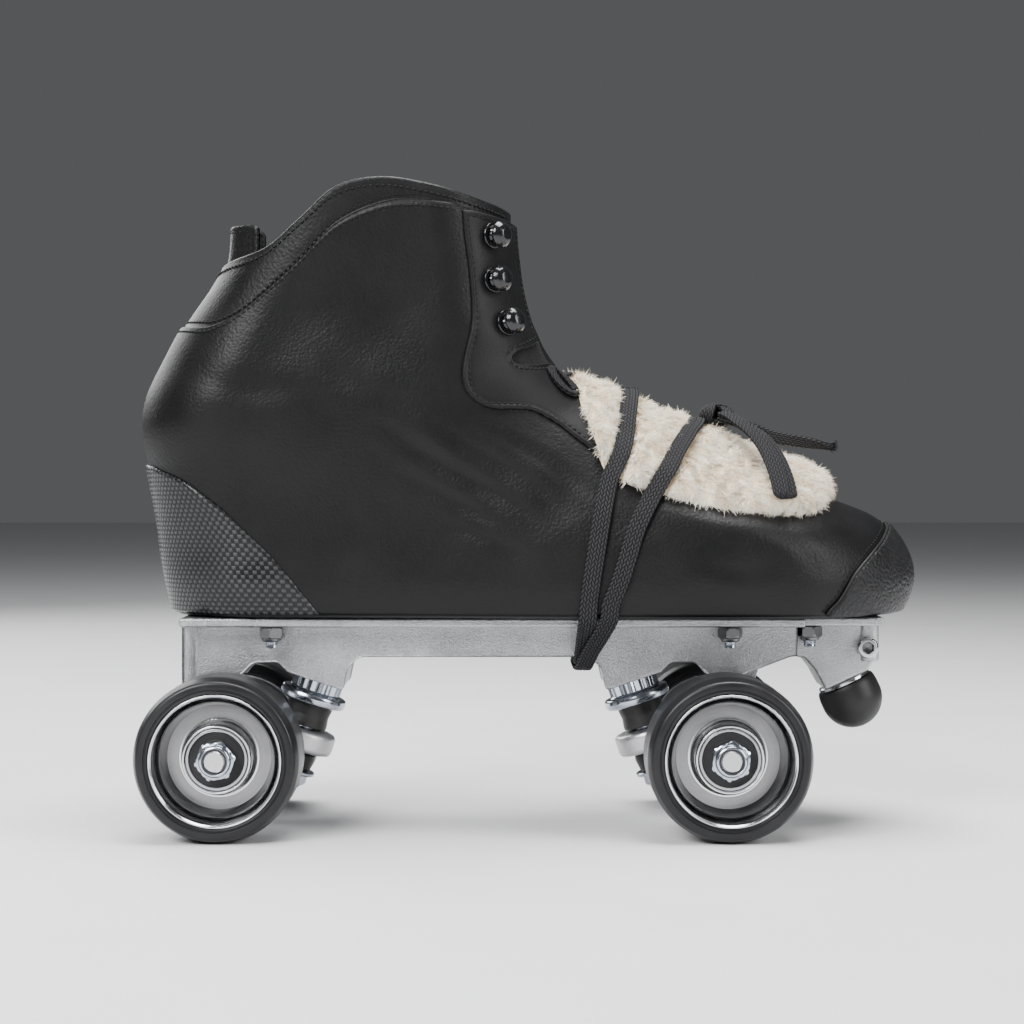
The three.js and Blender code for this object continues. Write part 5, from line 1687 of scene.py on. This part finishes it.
def makeTruck(end):
    frameOf = truckFrame(end)
    truck = f"{end}_truck"
    pieces = [
        ("adjusting_cup", flutedShape(cupProfile, 18, 0.75, 4.9), "zincPlate", "zinc_plate", mainBody),
        ("upper_cushion", turnedPart(upperCushionProfile, 96), "cushionRubber", "cushion_rubber", mainBody),
        ("lower_cushion", turnedPart(lowerCushionProfile, 96), "cushionRubber", "cushion_rubber", mainBody),
        ("kingpin", threadedRod(4.0, 6.0, 41.8, 1.0, 0.35), "zincPlate", "zinc_plate", mainBody),
        ("kingpin_nut", joinShapes([turnedPart(washerProfile, 96), hexShape(12.9, 36.2, 40.4, 4.1),
                                    turnedPart(kingNutCollar, 72)]), "zincPlate", "zinc_plate", mainBody),
    ]
    for name, shape, finish, slot, body in pieces:
        piece = addPiece(f"{end}_{name}_detail", onKingpin(shape, end), finishes[finish], body, 36)
        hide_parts(f"{end}_{name}")
    makeHanger(end, frameOf, truck)
    axle = joinShapes([threadedRod(3.9, 50.5, 59, 0.9, 0.25, 0.5),
                       turnedPart([(0, 0), (3.9, 0), (3.9, 51), (0, 51)], 48)])
    both = joinShapes([axle, (axle[0] * (1, -1, 1),) + axle[1:]])
    spacers = [turnedPart([(4.2, s * 24.4), (5.6, s * 24.4, 0.2), (5.4, s * 28.3, 0.3), (4.2, s * 28.3)],
                          48) for s in (1, -1)]
    shape = joinShapes([both] + spacers)
    shape = (shape[0] + (0, 0, wheelSet["radius"]),) + tuple(shape[1:])
    piece = addPiece(f"{end}_threaded_axle", moved(shape, frameOf), finishes["brightSteel"], truck,
                     36)
    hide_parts(f"{end}_axle")
    tip = turnedPart([(4.4, -9), (6.6, -9, 0.8), (6.8, -1.5, 0.8), (5.4, 0.4, 0.8), (4.4, 0.5), (4.4, -9)],
                     48)
    cup = moved(aimed(tip, pivotTip, steerAxis), frameOf)
    addPiece(f"{end}_pivot_cup", cup, finishes["cushionRubber"], mainBody, 36)


def makeHanger(end, frameOf, body):
    # cast in one: eye, link, neck with its pivot, and axle housing
    eye = aimed(turnedPart(eyeProfile, 72), kingpinSeat, kingpinAxis)
    housing = turnedPart([(4.3, -24.5), (6.4, -24.5, 0.6), (6.9, -22, 1.0), (7.5, -13, 4), (7.9, 0),
                          (7.5, 13, 4),
                          (6.9, 22, 1.0), (6.4, 24.5, 0.6), (4.3, 24.5), (4.3, -24.5)], 48)
    housing = (housing[0] + (0, 0, wheelSet["radius"]),) + housing[1:]
    link = slabShape(roundCorners([(-24, 30.5, 1), (-13, 31.5, 2), (-8, 25, 2), (0, 22.5, 2), (2, 35.5, 2),
                                   (-20, 36, 2)],
                                  True), -11, 11, 2.0)
    neck = slabShape(roundCorners([(-9, 31, 1), (6, 31, 1), (3.6, 49, 2), (-1.5, 49.5, 2), (-8, 42, 3)],
                                  True), -6, 6, 2.5)
    reach = np.linalg.norm(pivotTip - eyeCentre)
    pin = aimed(turnedPart([(0, reach - 14), (4.6, reach - 14), (4.2, reach - 3, 1), (3.2, reach, 1.5),
                            (0, reach)], 48),
                eyeCentre, steerAxis)
    shape = moved(joinShapes([eye, housing, link, neck, pin]), frameOf)
    hanger = addPiece(f"{end}_cast_hanger", (shape[0], shape[1], None), finishes["castAluminium"], body,
                      0)
    remesh = hanger.modifiers.new("castSkin", "REMESH")
    remesh.mode = "VOXEL"
    remesh.voxel_size = truckSet["voxel"] * mm
    remesh.use_smooth_shade = True
    soften = hanger.modifiers.new("softEdges", "SMOOTH")
    soften.factor, soften.iterations = 0.5, 5
    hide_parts(f"{end}_hanger")


for end in ("rear", "front"):
    makeTruck(end)
print("trucks are on")

# plate: webs, flange, blocks for the kingpins and pivots, and the nose

plateSet = {"top": 77, "under": 73.7, "rear": -126.5, "noseStart": 96.4, "nose": 127.5, "webOut": 20,
            "webIn": 16,
            "flange": 29.5, "edge": 0.7}
truckEdge = [(-48, 62.5, 5), (-43.8, 58.5, 2.5), (-42, 50.3, 1.5), (-22, 57, 1.5), (-18.5, 60.5, 3.5),
             (-9.5, 60.5, 4.5),
             (-4.5, 55.4, 2.5), (-3, 53.5, 1), (4.9, 53.5, 2)]


def webOutline():
    rear = [(wheelSet["rearX"] - x, z, r) for x, z, r in truckEdge][::-1]
    front = [(wheelSet["frontX"] + x, z, r) for x, z, r in truckEdge]
    ends = [(plateSet["noseStart"], 76), (plateSet["rear"], 76), (plateSet["rear"], 51.5, 2.5),
            (wheelSet["rearX"] - 7, 51.5, 2)]
    tail = [(77.5, 56.3, 6), (93.8, 62.5, 5), (plateSet["noseStart"], 62.8, 1)]
    return roundCorners(ends + rear + front + tail, True, 6)


def makePlate():
    p = plateSet
    shapes = [slabShape(webOutline(), s * p["webIn"], s * p["webOut"], p["edge"]) for s in (-1, 1)]
    shapes.append(blockShape(p["rear"], p["noseStart"] + 2, -p["flange"], p["flange"], p["under"], p["top"],
                             0.9, 1.0))
    shapes.append(blockShape(p["noseStart"] - 6, p["nose"] + 0.4, -22, 22, p["under"] + 0.05,
                             p["top"] - 0.05, 0.9, 1.0))
    for end in ("rear", "front"):
        # a solid block carries each kingpin, another each pivot cup
        seat = [(-45, 74), (-45, 60, 2), (-43.0, 57.5, 2), (-41.8, 50.6, 1), (-22.2, 57.2, 1),
                (-19.2, 61, 2), (-19.2, 74)]
        pivot = [(-4.0, 74), (-3.6, 56, 1), (-2.5, 54.0, 1), (12.5, 54.0, 1), (13.5, 57, 2), (13.5, 74)]
        for outline in (seat, pivot):
            block = slabShape(roundCorners(outline, True), -16.4, 16.4, 0.3)
            shapes.append(moved(block, truckFrame(end)))
    nose = roundCorners([(94.4, 76), (94.4, 62.4), (100.3, 61.4, 3), (104, 57, 3), (108, 49.8, 1.2),
                         (123.5, 57, 1.2),
                         (127.2, 63.2, 4), (127.5, 76)], True, 6)
    shapes.append(slabShape(nose, -12, 12, 1.0))
    plate = addPiece("channel_plate", joinShapes(shapes), finishes["blastedAluminium"],
                     sharp=50)
    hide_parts("plate")
    evenShading(plate)
    columns = []
    for x0, x1, half, low in ((p["rear"] - 0.2, p["rear"] + 6.6, 20.9, 52.6), (120.3, 127.6, 13.2, 60.2),
                              (p["noseStart"] - 3.2, p["noseStart"] + 0.6, 19.6, 63.6)):
        corners = [(x0, -half, 3.0), (x1, -half, 3.4), (x1, half, 3.4), (x0, half, 3.0)]
        column = slabShape(roundCorners(corners, True, 8), low, 74.2, 0.8)
        columns.append((column[0][:, [0, 2, 1]], column[1], None))
    column = addPiece("plate_end_columns", joinShapes(columns), finishes["blastedAluminium"],
                      sharp=50)
    evenShading(column)


makePlate()

boltSet = {"places": [(-93.5, 25), (71.7, 25), (101.4, 17)], "foot": 66.0, "nutLow": 68.9, "nutHigh": 73.6}


def makeBolts():
    i = 1
    for side in (-1, 1):
        for x, y in boltSet["places"]:
            turn = 0.3 + 0.7 * i
            stud = threadedRod(2.35, -75, -boltSet["foot"], 0.8, 0.22, 0.3)
            nut = hexShape(7.9, -boltSet["nutHigh"], -boltSet["nutLow"] - 0.6, 2.3)
            spin = np.array([[math.cos(turn), 0, -math.sin(turn)], [0, 1, 0],
                             [math.sin(turn), 0, math.cos(turn)]])
            nut = moved(nut, (spin, (0, 0, 0)))
            collar = turnedPart([(3.6, -70.2), (3.65, -69.4, 0.3), (3.3, -68.5, 0.5), (2.6, -68.4, 0.1),
                                 (2.5, -68.9)], 48)
            label = f"plate_bolt_{i}"
            upright = (np.array([[1, 0, 0], [0, 0, 1], [0, -1, 0]]), (x, side * y, 0))
            addPiece(f"{label}_stud", moved(stud, upright), finishes["zincPlate"],
                     sharp=36)
            piece = addPiece(label, moved(joinShapes([nut, collar]), upright), finishes["darkSteelAndPaintedShade"],
                             sharp=36)
            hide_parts(f"mounting_bolt_{i}")
            i += 1
    print("plate and", i - 1, "bolts are in")


makeBolts()

clampSet = {"x": 122.8, "z": 65.4, "face": 13.3, "head": 16.3}


def makeClampScrew():
    c = clampSet
    head = [(2.5, c["face"] - 1), (3.7, c["face"] - 0.6), (3.9, c["face"], 0.2),
            (3.9, c["head"] - 0.7, 0.5), (3.3, c["head"], 0.4),
            (2.3, c["head"], 0.3)]
    shell = turnedPart(head, 72)
    angles = np.arange(72) * math.pi / 36
    hexRadius = 1.75 / np.cos((angles + math.pi / 6) % (math.pi / 3) - math.pi / 6)
    rings = [np.full(72, 2.3), hexRadius + 0.15, hexRadius, hexRadius, np.full(72, 0.01)]
    heights = [c["head"], c["head"] - 0.15, c["head"] - 0.35, c["head"] - 2.3, c["head"] - 2.6]
    socket = np.vstack([np.stack([r * np.cos(angles), np.full(72, y), r * np.sin(angles)], axis=1)
                        for r, y in zip(rings, heights)])
    shank = turnedPart([(0, -12), (2.4, -12), (2.4, c["face"]), (0, c["face"])], 36)
    frameOf = (np.diag([-1, -1, 1]), (c["x"], 0, c["z"]))
    screw = addPiece("toe_stop_clamp_screw", moved(joinShapes([shell, shank]), frameOf),
                     finishes["brightSteel"],
                     sharp=36)
    # the hex socket takes the dark steel as painted shade inside the recess of the bright head
    addPiece("clamp_screw_socket", moved((socket, gridFaces(5, 72, True), None), frameOf),
             finishes["darkSteelAndPaintedShade"],
             sharp=36)
    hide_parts("clamp_screw")


makeClampScrew()

stopSet = {"seat": (115.75, 0, 53.4), "axis": (0.421, 0, -0.907), "radius": 11.3, "centre": 8.0}


def makeToeStop():
    s = stopSet
    axis = unit(np.array(s["axis"], float))
    stem = joinShapes([
        threadedRod(6.0, -17, 1.5, 1.2, 0.45, 0.2, 60),
        turnedPart([(0, 0.4), (9.4, 0.4, 0.2), (9.9, 0.8, 0.3), (9.9, 1.8, 0.3), (9.4, 2.3, 0.3),
                    (6.0, 2.35), (0, 2.4)], 96),
    ])
    piece = addPiece("toe_stop_stem_and_washer", aimed(stem, s["seat"], axis), finishes["brightSteel"],
                     "toe_stop",
                     36)
    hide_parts("toe_stop_stem")
    profile = [(0, 2.6), (9.6, 2.5), (10.5, 2.2), (10.75, 2.6), (11.05, 3.6), (11.25, 5.4)]
    for a in np.linspace(0.05, math.pi / 2, 24):
        profile.append((s["radius"] * math.cos(a) * (1 - 1e-9), s["centre"] + s["radius"] * math.sin(a)))
    profile[-1] = (0, s["centre"] + s["radius"])
    ball = addPiece("rubber_toe_stop", aimed(turnedShape(profile, 96), s["seat"], axis),
                    finishes["stopRubber"], "toe_stop",
                    50)
    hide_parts("toe_stop_ball")
    print("toe stop is on")


makeToeStop()
